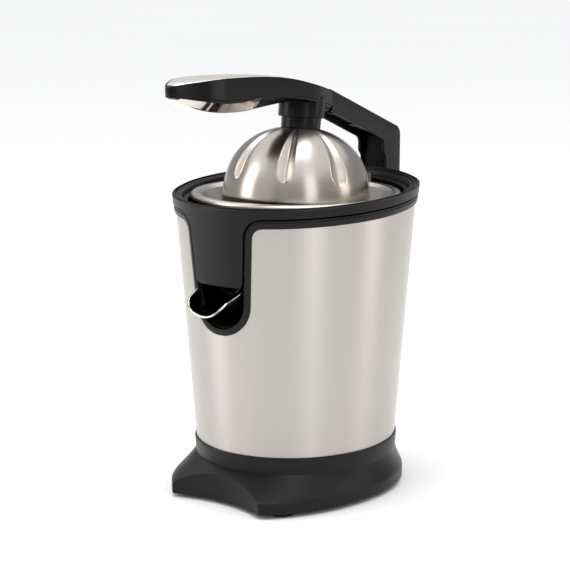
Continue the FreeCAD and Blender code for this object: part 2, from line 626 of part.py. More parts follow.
# --- arm ------------------------------------------------------------------------------------------
beam_side = [(30, 325.2, 0), (128.3, 286.3, 9), (128.3, 246, 2), (106.5, 246, 1), (106.5, 262, 0), (103, 267, 0),
             (103, 277.7, 6), (30, 307.3, 0)]
leg_room = [(108.3, 240, 0), (125.8, 240, 0), (125.8, 284.8, 7), (108.3, 291.8, 0)]
beam_room = [(25, 324.6, 0), (110, 291.0, 0), (110, 284, 0), (97, 284, 0), (97, 270, 0), (25, 299, 0)]
core_side = [(108.5, 212, 0), (123.5, 212, 0), (123.5, 283, 6), (30, 320.2, 0), (-8, 328.0, 0),
             (-8, 321, 0), (30, 312, 0), (108.5, 281.0, 4)]
core = plate_x(core_side, -8, 8)
tongue = plate_x([(108.5, 222, 0), (123.5, 222, 0), (123.5, 268, 0), (108.5, 268, 0)], -9.7, 9.7)
boss = rod_x(EAR_R, -9.7, 9.7, HINGE.y, HINGE.z)
collar_room = cup_place(cyl(COLLAR_R, 60, collar_top))
below_boss = box(-20, 20, 90, 140, 190, HINGE.z - 6).cut(rod_x(EAR_R, -20, 20, HINGE.y, HINGE.z))
core = fuse([core, tongue, boss]).cut(below_boss).cut(collar_room).cut(rod_x(3.05, -20, 20, HINGE.y, HINGE.z))
beam = plate_x(beam_side, -ARM_HALF, ARM_HALF)
beam = beam.cut(plate_x(leg_room, -11.5, 11.5)).cut(plate_x(beam_room, -11.5, 11.5)).cut(core)

# y, half width, underside, top, height of the sloping belly side
paddle_sections = [(-156.8, 4.0, 329.0, 337.2, 0.6), (-156, 7.5, 328.9, 337.9, 0.7),
                   (-154, 10.8, 328.4, 338.6, 0.9), (-147, 15.0, 325.6, 340.0, 2.7),
                   (-135, 18.6, 321.6, 341.6, 5.6), (-115, 20.0, 317.2, 342.6, 6.9),
                   (-90, 20.0, 315.3, 342.5, 7.9), (-65, 19.7, 316.0, 341.7, 8.9),
                   (-45, 19.5, 317.6, 340.2, 6.4), (-25, 19.5, 318.6, 337.6, 3.2),
                   (4, 19.5, 313.9, 331.3, 2.8), (30, 14.0, 307.3, 325.2, 2.4)]


def paddle_wire(y, half, low, top, belly):
    shoulder = min(1.5, (top - low) * 0.15)
    right = [(half * 0.6, low), (half, low + belly), (half, top - shoulder), (half * 0.9, top)]
    left = [(-u, v) for u, v in reversed(right)]
    corners = [V(u, y, v) for u, v in right + left]
    return Part.makePolygon(corners + [corners[0]])


paddle = Part.makeLoft([paddle_wire(*section) for section in paddle_sections], True, True)
lowered = put(paddle, V(0, 0, -1.6))
raised = put(paddle, V(0, 0, 1.6))
top_zone = Part.Face(outline([(-15.5, -150, 13), (15.5, -150, 13), (12.0, -30, 5), (-12.0, -30, 5)],
                                       lambda p: V(p.x, p.y, 300))).extrude(V(0, 0, 60))
belly_zone = Part.Face(outline([(-19.0, -148, 14), (19.0, -148, 14), (19.0, -60, 1), (-19.0, -60, 1)],
                               lambda p: V(p.x, p.y, 300))).extrude(V(0, 0, 60))
top_insert = paddle.cut(lowered).common(top_zone).common(box(-40, 40, -170, 0, 332, 350))
belly_insert = paddle.cut(raised).common(belly_zone).common(box(-40, 40, -170, 0, 300, 329))
front = paddle.cut(top_insert).cut(belly_insert).cut(collar_room).cut(core)
arm_screws = []
for y in (48.0, 78.0):
    z = 312.0 - (y - 30.0) * 0.4
    spot = V(0, y, z)
    arm_screws.append(put(screw(1.8, 6.0, 3.6, 2.0), spot, X_AXIS, 180 - 21.8))
for item in arm_screws:
    core = core.cut(item)
save("arm_core", core)
save("arm_beam", beam)
save("arm_front", front)
save("grip_top_insert", top_insert)
save("grip_belly_insert", belly_insert)
save("arm_screws", group(arm_screws))

# --- tilting spout --------------------------------------------------------------------------------
scoop_rear = -60.0
front_cut = [(-90, 186, 0), (-90, 181, 0), (-95, 177, 4), (-113, 169.5, 6), (-118.5, 161, 3), (-118, 154, 0),
             (-150, 150, 0), (-150, 186, 0)]
outer = rod_y(SPOUT_R, -125, scoop_rear, 0, SPOUT_Z)
inner = rod_y(SPOUT_R - SPOUT_T, -126, scoop_rear + 1, 0, SPOUT_Z)
ears = box(-SPOUT_R, SPOUT_R, -83, -73, SPOUT_Z, SPOUT_Z + 4.6)
scoop = outer.common(box(-40, 40, -140, -40, 150, SPOUT_Z)).fuse(ears)
scoop = scoop.cut(inner).cut(box(-SPOUT_R + SPOUT_T, SPOUT_R - SPOUT_T, -90, -60, SPOUT_Z - 0.1, SPOUT_Z + 9))
scoop = scoop.cut(plate_x(front_cut, -40, 40))
spout_pins = []
for side in (-1, 1):
    low = min(side * (SPOUT_R - SPOUT_T - 0.6), side * 25.0)
    stub = rod_x(1.5, low, low + 25.0 - (SPOUT_R - SPOUT_T - 0.6), SPOUT_PIN.y, SPOUT_PIN.z)
    scoop = scoop.cut(stub)
    spout_pins.append(stub)
save("spout_scoop", scoop)
save("spout_pins", group(spout_pins))
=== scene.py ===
# %% [markdown]
# # A lever citrus press, piece by piece
# The CAD model is the fixed frame: it says where every part is and how it moves. This lesson builds the
# surfaces that a buyer sees around it. Shapes are worked out in millimetres with numpy and put into meshes
# in metres, in the frame's own axes: the spout looks towards -Y and +Z is up.

# %% Load the frame
import json
import math

import bmesh
import bpy
import numpy as np
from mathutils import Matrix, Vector


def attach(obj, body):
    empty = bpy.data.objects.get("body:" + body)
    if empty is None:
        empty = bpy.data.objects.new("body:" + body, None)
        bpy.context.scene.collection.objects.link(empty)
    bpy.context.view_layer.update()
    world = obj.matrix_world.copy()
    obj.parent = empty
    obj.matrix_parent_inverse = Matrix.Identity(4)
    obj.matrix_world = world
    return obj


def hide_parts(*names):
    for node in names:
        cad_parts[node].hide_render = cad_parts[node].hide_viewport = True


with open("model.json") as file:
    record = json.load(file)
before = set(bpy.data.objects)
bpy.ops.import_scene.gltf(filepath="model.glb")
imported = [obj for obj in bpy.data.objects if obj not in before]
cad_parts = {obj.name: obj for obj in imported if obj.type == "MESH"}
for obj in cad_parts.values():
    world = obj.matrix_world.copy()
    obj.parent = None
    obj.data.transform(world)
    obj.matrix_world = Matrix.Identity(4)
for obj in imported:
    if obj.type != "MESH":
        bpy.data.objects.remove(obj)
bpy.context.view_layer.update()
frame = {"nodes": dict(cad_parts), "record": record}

# %% [markdown]
# ## Colour and node helpers
# Colours are picked the way a painter reads them, as sRGB hex values, but the renderer adds light in linear
# numbers, so one function turns one into the other. One more function adds a node with its settings and
# its links, so each material below reads as a short recipe.


# %% Colour and node helpers
def linear(hex_colour):
    """sRGB hex to linear: each channel v becomes v/12.92 if tiny, else ((v + 0.055) / 1.055) to 2.4."""
    channels = [int(hex_colour[i:i + 2], 16) / 255 for i in (1, 3, 5)]
    return [c / 12.92 if c <= 0.04045 else ((c + 0.055) / 1.055) ** 2.4 for c in channels] + [1.0]


def add(tree, kind, settings=None, links=None):
    """Adds one node. settings are attributes or inputs; links name a socket, or a node's first output."""
    node = tree.nodes.new("ShaderNode" + kind)
    for key, value in (settings or {}).items():
        if isinstance(key, int) or key in node.inputs:
            node.inputs[key].default_value = value
        else:
            setattr(node, key, value)
    for key, source in (links or {}).items():
        tree.links.new(source.outputs[0] if isinstance(source, bpy.types.Node) else source, node.inputs[key])
    return node


def new_material(name):
    """A material with an empty tree and its output, returned with the tree."""
    material = bpy.data.materials.new(name)
    material.use_nodes = True
    tree = material.node_tree
    tree.nodes.clear()
    add(tree, "OutputMaterial")
    return material, tree


def finish_material(tree, shader):
    """Links the shader to the material output."""
    output = tree.nodes["Material Output"]
    tree.links.new(shader.outputs[0], output.inputs["Surface"])


# %% [markdown]
# ## Satin moulded black ABS
# The plinth, the trim and the collector are ABS moulded in a lightly eroded steel mould. That leaves a fine
# grain about 0.3 mm across, which spreads the highlights, and a faint unevenness in gloss where the plastic
# cooled. IOR 1.54 is ABS; the grain is a little coarser here than real so that it shows.


# %% Moulded plastics
DRIFT_MM = 38.0


def moulded_plastic(name, colour, rough, grain_mm, grain_depth, ior=1.54, shine=0.3):
    """Plastic with a mould grain: fine noise drives the bump, broad noise drifts colour and gloss."""
    material, tree = new_material(name)
    place = add(tree, "TexCoord").outputs["Object"]
    grain = add(tree, "TexNoise", {"Scale": 1000 / grain_mm, "Detail": 2.0},
                {"Vector": place})
    drift = add(tree, "TexNoise", {"Scale": 1000 / DRIFT_MM, "Detail": 3.0},
                {"Vector": place})
    gloss = add(tree, "MapRange",
                {"From Min": 0.3, "From Max": 0.7, "To Min": rough * 0.88, "To Max": rough * 1.14},
                {"Value": drift})
    dark = [c * 0.86 for c in linear(colour)[:3]] + [1.0]
    tint = add(tree, "Mix", {"data_type": "RGBA", 6: dark, 7: linear(colour)},
               {"Factor": drift})
    bump = add(tree, "Bump", {"Strength": grain_depth, "Distance": 0.00012},
               {"Height": grain})
    shader = add(tree, "BsdfPrincipled",
                 {"IOR": ior, "Coat Roughness": 0.06, "Specular IOR Level": shine},
                 {"Base Color": tint.outputs[2], "Roughness": gloss,
                  "Normal": bump})
    finish_material(tree, shader)
    return material


black_abs = moulded_plastic("moulded ABS, satin black", "#0e0d0c", 0.36, 0.30, 0.25, shine=0.2)
gloss_abs = moulded_plastic("moulded ABS, polished black", "#070707", 0.24, 0.9, 0.06, shine=0.13)
# Painted shade: a darker, rougher black for CAD parts that sit deep in shade inside the machine.
shade_black_abs = moulded_plastic("moulded ABS, painted shade black", "#060606", 0.55, 0.5, 0.3, shine=0.12)
grey_abs = moulded_plastic("moulded ABS, satin grey", "#77716b", 0.42, 0.3, 0.2, shine=0.5)
nylon = moulded_plastic("moulded nylon, natural", "#d8d4c4", 0.45, 0.4, 0.2, shine=0.5)
rubber = moulded_plastic("moulded rubber, matt", "#151514", 0.75, 0.35, 0.5, ior=1.52)
print("plastics:", [m.name for m in (black_abs, gloss_abs, shade_black_abs, grey_abs, nylon, rubber)])

# %% [markdown]
# ## Brushed stainless steel
# The body is stainless sheet brushed round and round with a fine abrasive belt. The scratches run level, so
# a light is stretched into a tall soft band across them. Two things make that look: an anisotropic shader,
# its tangent running round the body and its rotation a quarter turn so that the smear runs upwards, and a
# streak noise squeezed hard in Z (0.35 mm tall, 60 mm long) that varies the roughness and the shade.


# %% Brushed and polished metals
CLOUD_MM = 90.0
STREAKS_PER_RADIAN = 1.6


def brushed_steel(name, colour, rough, anisotropy, streak_mm, streak_depth, spread=0.10):
    """Metal with level brushing: noise stretched along the surface drives roughness, tint and bump."""
    material, tree = new_material(name)
    place = add(tree, "TexCoord").outputs["Object"]
    split = add(tree, "SeparateXYZ", {}, {"Vector": place})
    turn = add(tree, "Math", {"operation": "ARCTAN2"},
               {0: split.outputs["Y"], 1: split.outputs["X"]})
    around = add(tree, "Math", {"operation": "MULTIPLY", 1: STREAKS_PER_RADIAN}, {0: turn})
    up = add(tree, "Math", {"operation": "MULTIPLY", 1: 1000 / streak_mm},
             {0: split.outputs["Z"]})
    flat = add(tree, "CombineXYZ", {}, {"X": around, "Z": up})
    streak = add(tree, "TexNoise", {"Scale": 1.0, "Detail": 4.0, "Roughness": 0.7},
                 {"Vector": flat})
    cloud = add(tree, "TexNoise", {"Scale": 1000 / CLOUD_MM, "Detail": 2.0},
                {"Vector": place})
    gloss = add(tree, "MapRange",
                {"From Min": 0.25, "From Max": 0.75,
                 "To Min": rough * (1 - spread), "To Max": rough * (1 + spread)},
                {"Value": streak})
    dark = [c * 0.93 for c in linear(colour)[:3]] + [1.0]
    tint = add(tree, "Mix", {"data_type": "RGBA", 6: dark, 7: linear(colour)},
               {"Factor": streak})
    warm = [c * k for c, k in zip(linear(colour)[:3], (1.0, 0.975, 0.945))] + [1.0]
    cast = add(tree, "Mix", {"data_type": "RGBA", 7: warm},
               {"Factor": cloud, 6: tint.outputs[2]})
    bump = add(tree, "Bump", {"Strength": streak_depth, "Distance": 0.00003},
               {"Height": streak})
    tangent = add(tree, "Tangent", {"direction_type": "RADIAL", "axis": "Z"})
    shader = add(tree, "BsdfPrincipled",
                 {"Metallic": 1.0, "Anisotropic": anisotropy, "Anisotropic Rotation": 0.25},
                 {"Base Color": cast.outputs[2], "Roughness": gloss,
                  "Normal": bump, "Tangent": tangent})
    finish_material(tree, shader)
    return material


shell_steel = brushed_steel("stainless steel, belt brushed", "#b9b6b2", 0.34, 0.8, 0.35, 0.25)
cup_steel = brushed_steel("stainless steel, spun and satin brushed", "#b8b3ac", 0.28, 0.7, 1.6, 0.02, 0.04)
bowl_steel = brushed_steel("stainless steel, pressed satin", "#d2cdc6", 0.30, 0.3, 0.6, 0.12)
bright_steel = brushed_steel("stainless steel, polished", "#dcd9d5", 0.10, 0.0, 0.8, 0.04)
inlay_metal = brushed_steel("aluminium inlay, fine bead blasted", "#e9e6e2", 0.38, 0.0, 0.5, 0.10)
zinc_steel = brushed_steel("steel, zinc plated", "#a9abad", 0.35, 0.0, 0.7, 0.15)
cast_alloy = brushed_steel("aluminium, die cast", "#8d8e90", 0.5, 0.0, 1.2, 0.3)
bronze = brushed_steel("bronze, sintered", "#a3783f", 0.45, 0.0, 0.5, 0.3)
copper = brushed_steel("copper wire, enamelled", "#9c5226", 0.35, 0.0, 0.4, 0.8)
lamination = brushed_steel("electrical steel, stacked sheets", "#6d7076", 0.45, 0.0, 0.5, 1.0)
FINISH = {"black_abs": black_abs, "gloss_black_abs": gloss_abs, "brushed_steel": shell_steel,
          "polished_steel": bright_steel, "satin_inlay": inlay_metal, "rubber_black": rubber,
          "zinc_steel": zinc_steel, "cast_alloy": cast_alloy, "nylon_white": nylon, "bronze": bronze,
          "lamination": lamination, "copper_wire": copper, "grey_abs": grey_abs}
print("metals:", [m.name for m in (shell_steel, cup_steel, bright_steel, inlay_metal)])

# %% [markdown]
# ## From a grid of points to a closed mesh
# Every new piece is a function of two parameters, worked out on a whole grid at once. `grid_piece` takes the
# grid in millimetres, joins neighbours into quads, closes it round either way, melts rows that meet in one
# point into a pole, and turns all faces outwards.


# %% Mesh builder
def grid_faces(nu, nv, loop_u, loop_v):
    """Quads of a grid of nu by nv points: each joins a point with the next along u and along v."""
    u = np.arange(nu if loop_u else nu - 1)[:, None]
    v = np.arange(nv if loop_v else nv - 1)[None, :]
    u2 = (u + 1) % nu
    v2 = (v + 1) % nv
    return np.stack([u * nv + v, u2 * nv + v, u2 * nv + v2, u * nv + v2], -1).reshape(-1, 4)


def put(name, data):
    """Object for a mesh, lamp or camera, linked into the scene."""
    thing = bpy.data.objects.new(name, data)
    bpy.context.scene.collection.objects.link(thing)
    return thing


def grid_mesh(name, grid, loop_u=False, loop_v=True, caps=False, keep=None):
    """Mesh from a (nu, nv, 3) grid in mm and its count of open edges. keep masks the quads to leave in."""
    nu, nv = grid.shape[:2]
    faces = grid_faces(nu, nv, loop_u, loop_v)
    if keep is not None:
        faces = faces[keep.reshape(-1)]
    faces = faces.tolist()
    if caps:
        faces += [list(range(nv))[::-1], list(range((nu - 1) * nv, nu * nv))]
    mesh = bpy.data.meshes.new(name)
    mesh.from_pydata((grid.reshape(-1, 3) / 1000.0).tolist(), [], faces)
    work = bmesh.new()
    work.from_mesh(mesh)
    bmesh.ops.remove_doubles(work, verts=work.verts, dist=1e-6)
    bmesh.ops.dissolve_degenerate(work, edges=work.edges, dist=1e-7)
    bmesh.ops.delete(work, geom=[v for v in work.verts if not v.link_faces], context="VERTS")
    bmesh.ops.recalc_face_normals(work, faces=work.faces)
    work.to_mesh(mesh)
    open_edges = sum(1 for e in work.edges if len(e.link_faces) != 2)
    work.free()
    return mesh, open_edges


def grid_piece(name, grid, body, slot, replaced, material=None, sharp=40.0, **shape):
    """Finished piece from a grid, in its slot's finish unless material says otherwise."""
    mesh, open_edges = grid_mesh(name, grid, **shape)
    mesh.shade_smooth()
    mesh.set_sharp_from_angle(angle=math.radians(sharp))
    mesh.materials.append(material or FINISH[slot])
    piece = put(name, mesh)
    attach(piece, body)
    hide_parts(*replaced)
    print(f"{name}: {len(mesh.polygons)} faces, {open_edges} open edges")
    return piece


def hermite(x, knots, values):
    """Smooth curve through a few given knots: cubic pieces whose slopes are centred differences."""
    knots = np.asarray(knots, float)
    values = np.asarray(values, float)
    slopes = np.gradient(values, knots)
    x = np.clip(np.asarray(x, float), knots[0], knots[-1])
    i = np.clip(np.searchsorted(knots, x) - 1, 0, len(knots) - 2)
    h = knots[i + 1] - knots[i]
    t = (x - knots[i]) / h
    a = (1 + 2 * t) * (1 - t) ** 2
    b = t * (1 - t) ** 2
    c = t ** 2 * (3 - 2 * t)
    d = t ** 2 * (t - 1)
    return a * values[i] + b * h * slopes[i] + c * values[i + 1] + d * h * slopes[i + 1]


def rounded(corners, closed=True, steps=5):
    """Polyline through (u, v, r) corners, each corner an arc of radius r tangent to both its sides."""
    pts = np.array([c[:2] for c in corners], float)
    radii = [c[2] for c in corners]
    out = []
    for i, (p, r) in enumerate(zip(pts, radii)):
        if r <= 0 or (not closed and i in (0, len(pts) - 1)):
            out.append(p[None])
            continue
        a = pts[i - 1] - p
        b = pts[(i + 1) % len(pts)] - p
        a, b = a / np.linalg.norm(a), b / np.linalg.norm(b)
        half = np.arccos(np.clip(a @ b, -1, 1)) / 2
        centre = p + (a + b) / np.linalg.norm(a + b) * r / np.sin(half)
        start = p + a * r / np.tan(half) - centre
        stop = p + b * r / np.tan(half) - centre
        turn = np.arctan2(start[0] * stop[1] - start[1] * stop[0], start @ stop)
        angles = np.linspace(0, turn, steps)[:, None]
        side = np.array([-start[1], start[0]])
        out.append(centre + start * np.cos(angles) + side * np.sin(angles))
    return np.concatenate(out)


def polar(r, phi, z):
    """Points at radius r, height z and angle phi, which is zero in front and grows towards +X."""
    return np.stack(np.broadcast_arrays(r * np.sin(phi), -r * np.cos(phi), z), -1)


def turned(profile, count=128):
    """Surface of revolution about Z: profile (r, z) points, count steps round. Grid is (count, profile)."""
    angle = np.linspace(0, 2 * np.pi, count, endpoint=False)[:, None]
    r, z = profile[None, :, 0], profile[None, :, 1]
    return np.stack([r * np.cos(angle), r * np.sin(angle), z + 0 * angle], -1)


# %% [markdown]
# ## The oval body and its notch
# The steel body is a flared oval: both half axes grow by 0.0752 mm per mm of height. Its top edge rises
# towards the back by 3.1 degrees and dips into a round-ended notch at the front. The steel edge, the trim
# and the collector all follow that one line, each moved inwards by its own inset, so `edge_path` works the
# line out once.

# %% The body's oval and the line of the notch
FOOT_Z, FOOT_HALF_X, FOOT_HALF_Y, FLARE = 41.0, 80.6, 86.4, 0.0752
TILT = math.tan(math.radians(3.1))
STEEL_TOP, NOTCH_LOW = 233.0, 173.1
TOP_HALF, LOW_HALF = 32.4, 27.9
SIDE_SLOPE = (TOP_HALF - LOW_HALF) / (STEEL_TOP - NOTCH_LOW)
BAND_H, BAND_W, CORNER = 6.4, 5.0, 9.0
WIDE, BACK_DROP = 70.0, 3.6


def half_x(z, grow=0.0):
    return FOOT_HALF_X + (z - FOOT_Z) * FLARE + grow


def half_y(z, grow=0.0):
    return FOOT_HALF_Y + (z - FOOT_Z) * FLARE + grow


def on_body(theta, z, grow):
    """Point of the oval at height z: x = a sin(theta), y = -b cos(theta), with both halves grown."""
    x, y = half_x(z, grow) * np.sin(theta), -half_y(z, grow) * np.cos(theta)
    return np.stack(np.broadcast_arrays(x, y, z), -1)


def on_tilt(theta, level, grow):
    """The same for a level that leans with the rim: z = level + y tan(tilt), found in three rounds."""
    z = level + 0 * theta
    for _ in range(3):
        z = level - half_y(z, grow) * np.cos(theta) * TILT
    return on_body(theta, z, grow)


def whole_path(right, rear, level, shared):
    """Adds even steps behind, then the left half: the right half mirrored, less its shared points."""
    theta = np.arcsin(right[:, 0] / half_x(right[:, 1] - BACK_DROP))
    back = np.linspace(np.pi, theta[0], rear, endpoint=False)
    theta = np.concatenate([back, theta])
    z = np.concatenate([np.full(rear, level), right[:, 1]])
    return np.concatenate([theta, -theta[-shared:0:-1]]), np.concatenate([z, z[-shared:0:-1]])


def edge_path(inset, rear=90, arc=12, side=14, low=22):
    """(theta, level) round the whole dark edge: level behind, round corners, notch sides, round bottom."""
    level = STEEL_TOP + inset * BAND_H / BAND_W
    half = LOW_HALF - inset
    top = half + SIDE_SLOPE * (level - NOTCH_LOW)
    bottom = NOTCH_LOW - half
    foot = half - SIDE_SLOPE * half
    run = rounded([(WIDE, level, 0), (top, level, CORNER + inset), (foot, bottom, half * 0.955),
                   (-foot, bottom, 0)], closed=False, steps=40)
    corner, curve = run[1:41], run[41:81]
    pick = lambda points, n: points[np.linspace(0, len(points) - 1, n).round().astype(int)]
    corner, curve = pick(corner, arc), pick(curve, low)
    straight = corner[-1] + (curve[0] - corner[-1]) * np.linspace(0, 1, side + 2)[1:-1, None]
    right = np.concatenate([corner, straight, curve])
    return whole_path(right, rear, level, 1)


print("edge line points:", len(edge_path(0)[0]))

# %% [markdown]
# ## Steel body
# A real body is one sheet, rolled, welded at the back and cut for the notch. The grid runs round the oval
# along the edge line and up from the plinth to that line, outside and back down inside, 1 mm apart.


# %% Steel body
def body_wall(outer, inner, foot, inset, rows=44):
    """Rows from the foot up to the edge line outside, then down again inside, joined into a ring."""
    theta, level = edge_path(inset)
    top = on_tilt(theta, level, outer)[..., 2]
    lift = np.concatenate([np.linspace(0, 1, rows), np.linspace(1, 0, 8)])
    grow = np.concatenate([np.full(rows, outer), np.full(8, inner)])
    z = foot + (top[:, None] - foot) * lift[None, :]
    return on_body(theta[:, None] + 0 * z, z, grow[None, :])


body = grid_piece("steel_body", body_wall(0.0, -1.0, 38.2, 1.2), "base", "brushed_steel",
                  ["body_shell"], loop_u=True)

# %% [markdown]
# ## Trim band
# The black trim hooks over the cut edge of the steel and hides it. Its section is swept along the edge line:
# the section's width is the inset from the steel, its thickness is how far it stands off the oval. A shallow
# step near the inner edge catches a thin line of light.

# %% Trim band
trim_section = rounded([(0.0, -0.2, 0.3), (0.0, 1.5, 0.7), (3.6, 1.9, 0.5), (3.9, 1.2, 0.2),
                        (5.0, 1.2, 0.3), (5.0, -3.0, 0.3), (1.4, -3.0, 0.2), (1.4, -0.2, 0.1)])
trim_rows = []
for inset, grow in trim_section:
    theta, level = edge_path(inset)
    trim_rows.append(on_tilt(theta, level, grow))
trim = grid_piece("trim_band", np.stack(trim_rows, 1), "base", "black_abs", ["trim_frame"],
                  loop_u=True)

# %% [markdown]
# ## Cutting one piece with another
# Pockets, bores and the glass recess are real cuts. A Boolean modifier does the cutting; its result is then
# written back into the mesh, the tool is thrown away, and the new edges are marked sharp.


# %% Cutter
def settle(piece, sharp=35.0):
    """Writes the result of a piece's modifiers into its mesh and marks the sharp edges."""
    depsgraph = bpy.context.evaluated_depsgraph_get()
    mesh = bpy.data.meshes.new_from_object(piece.evaluated_get(depsgraph))
    piece.modifiers.clear()
    piece.data = mesh
    mesh.shade_smooth()
    mesh.set_sharp_from_angle(angle=math.radians(sharp))


def carve(piece, tools, sharp=35.0):
    """Cuts each tool out of the piece and deletes the tools."""
    for tool in tools:
        cut = piece.modifiers.new("cut", "BOOLEAN")
        cut.operation, cut.solver, cut.object = "DIFFERENCE", "EXACT", tool
    bpy.context.view_layer.update()
    settle(piece, sharp)
    for tool in tools:
        bpy.data.objects.remove(tool)
    print(f"{piece.name}: {len(piece.data.polygons)} faces after cutting")


def tool_piece(grid):
    """A cutter made from a grid in mm; it rides on nothing because it is deleted after the cut."""
    return put("tool", grid_mesh("tool", grid, caps=True)[0])


# %% [markdown]
# ## Juice collector
# The collector is one moulding: a tub that sits inside the steel, a rim band over it, and an apron that
# fills the notch in front. The band and apron are one skirt whose lower edge follows the notch line,
# six millimetres in, and is then cut off level with two small round corners.

# %% Collector skirt
RIM_TOP, APRON_LOW = 247.4, 185.2
EDGE_IN = BAND_W + 1.0


def skirt_path(rear=90, arc=14, side=16, turn=8, flat=8):
    """(theta, level) of the skirt's lower edge: band level behind, notch sides, level apron edge."""
    level = STEEL_TOP + EDGE_IN * BAND_H / BAND_W
    half = LOW_HALF - EDGE_IN
    top = half + SIDE_SLOPE * (level - NOTCH_LOW)
    low = half + SIDE_SLOPE * (APRON_LOW - NOTCH_LOW)
    run = rounded([(WIDE, level, 0), (top, level, CORNER + EDGE_IN), (low, APRON_LOW, 5.0),
                   (-low, APRON_LOW, 0)], closed=False, steps=40)
    corner = run[1:41][np.linspace(0, 39, arc).round().astype(int)]
    curve = run[41:81][np.linspace(0, 39, turn).round().astype(int)]
    straight = corner[-1] + (curve[0] - corner[-1]) * np.linspace(0, 1, side + 2)[1:-1, None]
    base = curve[-1] + (np.array([0, APRON_LOW]) - curve[-1]) * np.linspace(0, 1, flat + 1)[1:, None]
    right = np.concatenate([corner, straight, curve, base])
    return whole_path(right, rear, level, 2)


def skirt_grid():
    """Section rows from the inner top over the rim's outer edge, down the outside, round and up inside."""
    theta, low = skirt_path()
    out, up = 30, 6
    lift = np.concatenate([np.ones(5), np.linspace(0.985, 0.02, out), np.zeros(5),
                           np.linspace(0.02, 0.9, up)])
    drop = np.concatenate([[-1.2, -0.15, 0, 0.15, 0.7], np.zeros(out), [-0.7, -0.2, 0, -0.2, -0.7],
                           np.zeros(up)])
    grow = np.concatenate([[-0.3, -0.3, 0.0, 1.6, 2.2], np.full(out, 2.3), [2.2, 1.8, 1.3, 0.7, 0.3],
                           np.full(up, 0.2)])
    level = low[:, None] + (RIM_TOP - low[:, None]) * lift - drop * ((lift == 1) | (lift == 0))
    return on_tilt(theta[:, None] + 0 * level, level, grow[None, :])


skirt = grid_piece("collector_skirt", skirt_grid(), "collector", "black_abs", ["juice_collector"],
                   loop_u=True)

# %% [markdown]
# The tub is a wall and a floor in one: its section starts at the centre tower, crosses the floor, climbs the
# oval wall, goes over the ridged rim and back down outside. Near the tower the section turns in a circle,
# at the wall it follows the oval, and the floor blends from one to the other.


# %% Collector tub
def tub_grid(count=240):
    """Section points (circle radius or oval growth, level, blend) swept round; blend 0 circle, 1 oval."""
    section = np.array([
        (11.6, 223.4, 0), (11.6, 205.0, 0), (12.4, 199.0, 0), (15.0, 196.6, 0), (22.0, 196.0, 0),
        (-60.0, 196.0, 0.30), (-30.0, 196.0, 0.75), (-14.0, 196.2, 1), (-9.0, 197.4, 1),
        (-7.0, 200.5, 1), (-6.2, 205.0, 1), (-6.2, 220.0, 1), (-6.2, 236.0, 1), (-6.2, 240.2, 1),
        (-7.0, 240.6, 1), (-9.4, 240.6, 1), (-9.9, 241.0, 1), (-9.6, 241.5, 1), (-6.6, 241.6, 1),
        (-5.9, 242.2, 1), (-5.7, 245.6, 1), (-5.2, 246.2, 1), (-3.1, 246.3, 1), (-2.8, 246.6, 1),
        (-2.5, 247.2, 1), (-2.0, 247.4, 1), (-1.0, 247.4, 1), (-0.6, 247.1, 1), (-0.55, 246.2, 1),
        (-0.35, 246.0, 1), (-0.1, 246.0, 1), (0.1, 245.0, 1), (0.1, 241.0, 1), (-2.0, 240.8, 1),
        (-4.0, 240.0, 1), (-4.0, 225.0, 1), (-4.0, 200.0, 1), (-5.0, 196.0, 1), (-7.5, 194.0, 1),
        (-12.0, 193.5, 1), (-34.0, 193.5, 0.7), (-62.0, 193.5, 0.2), (20.0, 193.5, 0), (10.5, 190.4, 0),
        (9.3, 190.4, 0), (9.3, 206.0, 0), (9.3, 223.4, 0), (9.6, 224.0, 0), (11.3, 224.0, 0)])
    theta = np.linspace(0, 2 * np.pi, count, endpoint=False)[:, None]
    size, level, blend = section.T
    oval = on_tilt(theta + 0 * level, level[None, :], np.where(blend > 0, size, 0)[None, :])
    radius = np.where(blend > 0, 0, size)
    radius = np.where((blend > 0) & (blend < 1), 24.0, radius)
    circle = polar(radius, theta, level)
    spread = np.hypot(oval[..., 0], oval[..., 1])
    target = polar(spread, theta, oval[..., 2])
    mixed = np.where(blend[None, :, None] >= 1, oval, 0.5 * (oval + target))
    weight = np.where(blend > 0, 1.0, 0.0)[None, :, None]
    return circle * (1 - weight) + mixed * weight


def bent_pipe(radius, top, y, z, front):
    """Wall of the outlet: a round pipe from the floor down, through a bend, and forward to y = front."""
    turn = np.linspace(0, np.pi / 2, 9)
    bend = 9.0
    arc = [(y - bend * (1 - math.cos(t)), z + bend * (1 - math.sin(t))) for t in turn]
    line = [(y, top)] + arc + [(front, z)]
    tangent = [0.0] + list(turn) + [np.pi / 2]
    angle = np.linspace(0, 2 * np.pi, 40, endpoint=False)
    rows = []
    for (py, pz), t in zip(line, tangent):
        across, along = radius * np.cos(angle), radius * np.sin(angle)
        rows.append(np.stack([across, py + along * math.cos(t), pz - along * math.sin(t)], -1))
    return np.stack(rows)


tub = grid_piece("collector_tub", tub_grid(), "collector", "black_abs", ["juice_collector"],
                 loop_u=True)
OUTLET = {"top": 194.0, "y": -67.0, "z": 184.0, "front": -84.0}
outer_pipe, inner_pipe = bent_pipe(13.0, **OUTLET), bent_pipe(11.0, **OUTLET)
lip = 0.5 * (outer_pipe[-1:] + inner_pipe[-1:]) + np.array([0, -0.8, 0])
outlet_grid = np.concatenate([outer_pipe, lip, inner_pipe[::-1]])
outlet = grid_piece("juice_outlet", outlet_grid, "collector", "black_abs", ["juice_collector"])

# %% [markdown]
# ## Pulp filter
# A pressed steel bowl: a rolled rim that bears on the collector, a sloping wall, and a flat bottom with 36
# narrow slots round a short collar. The slots are quads left out of the grid before Solidify gives the
# sheet its 0.8 mm.

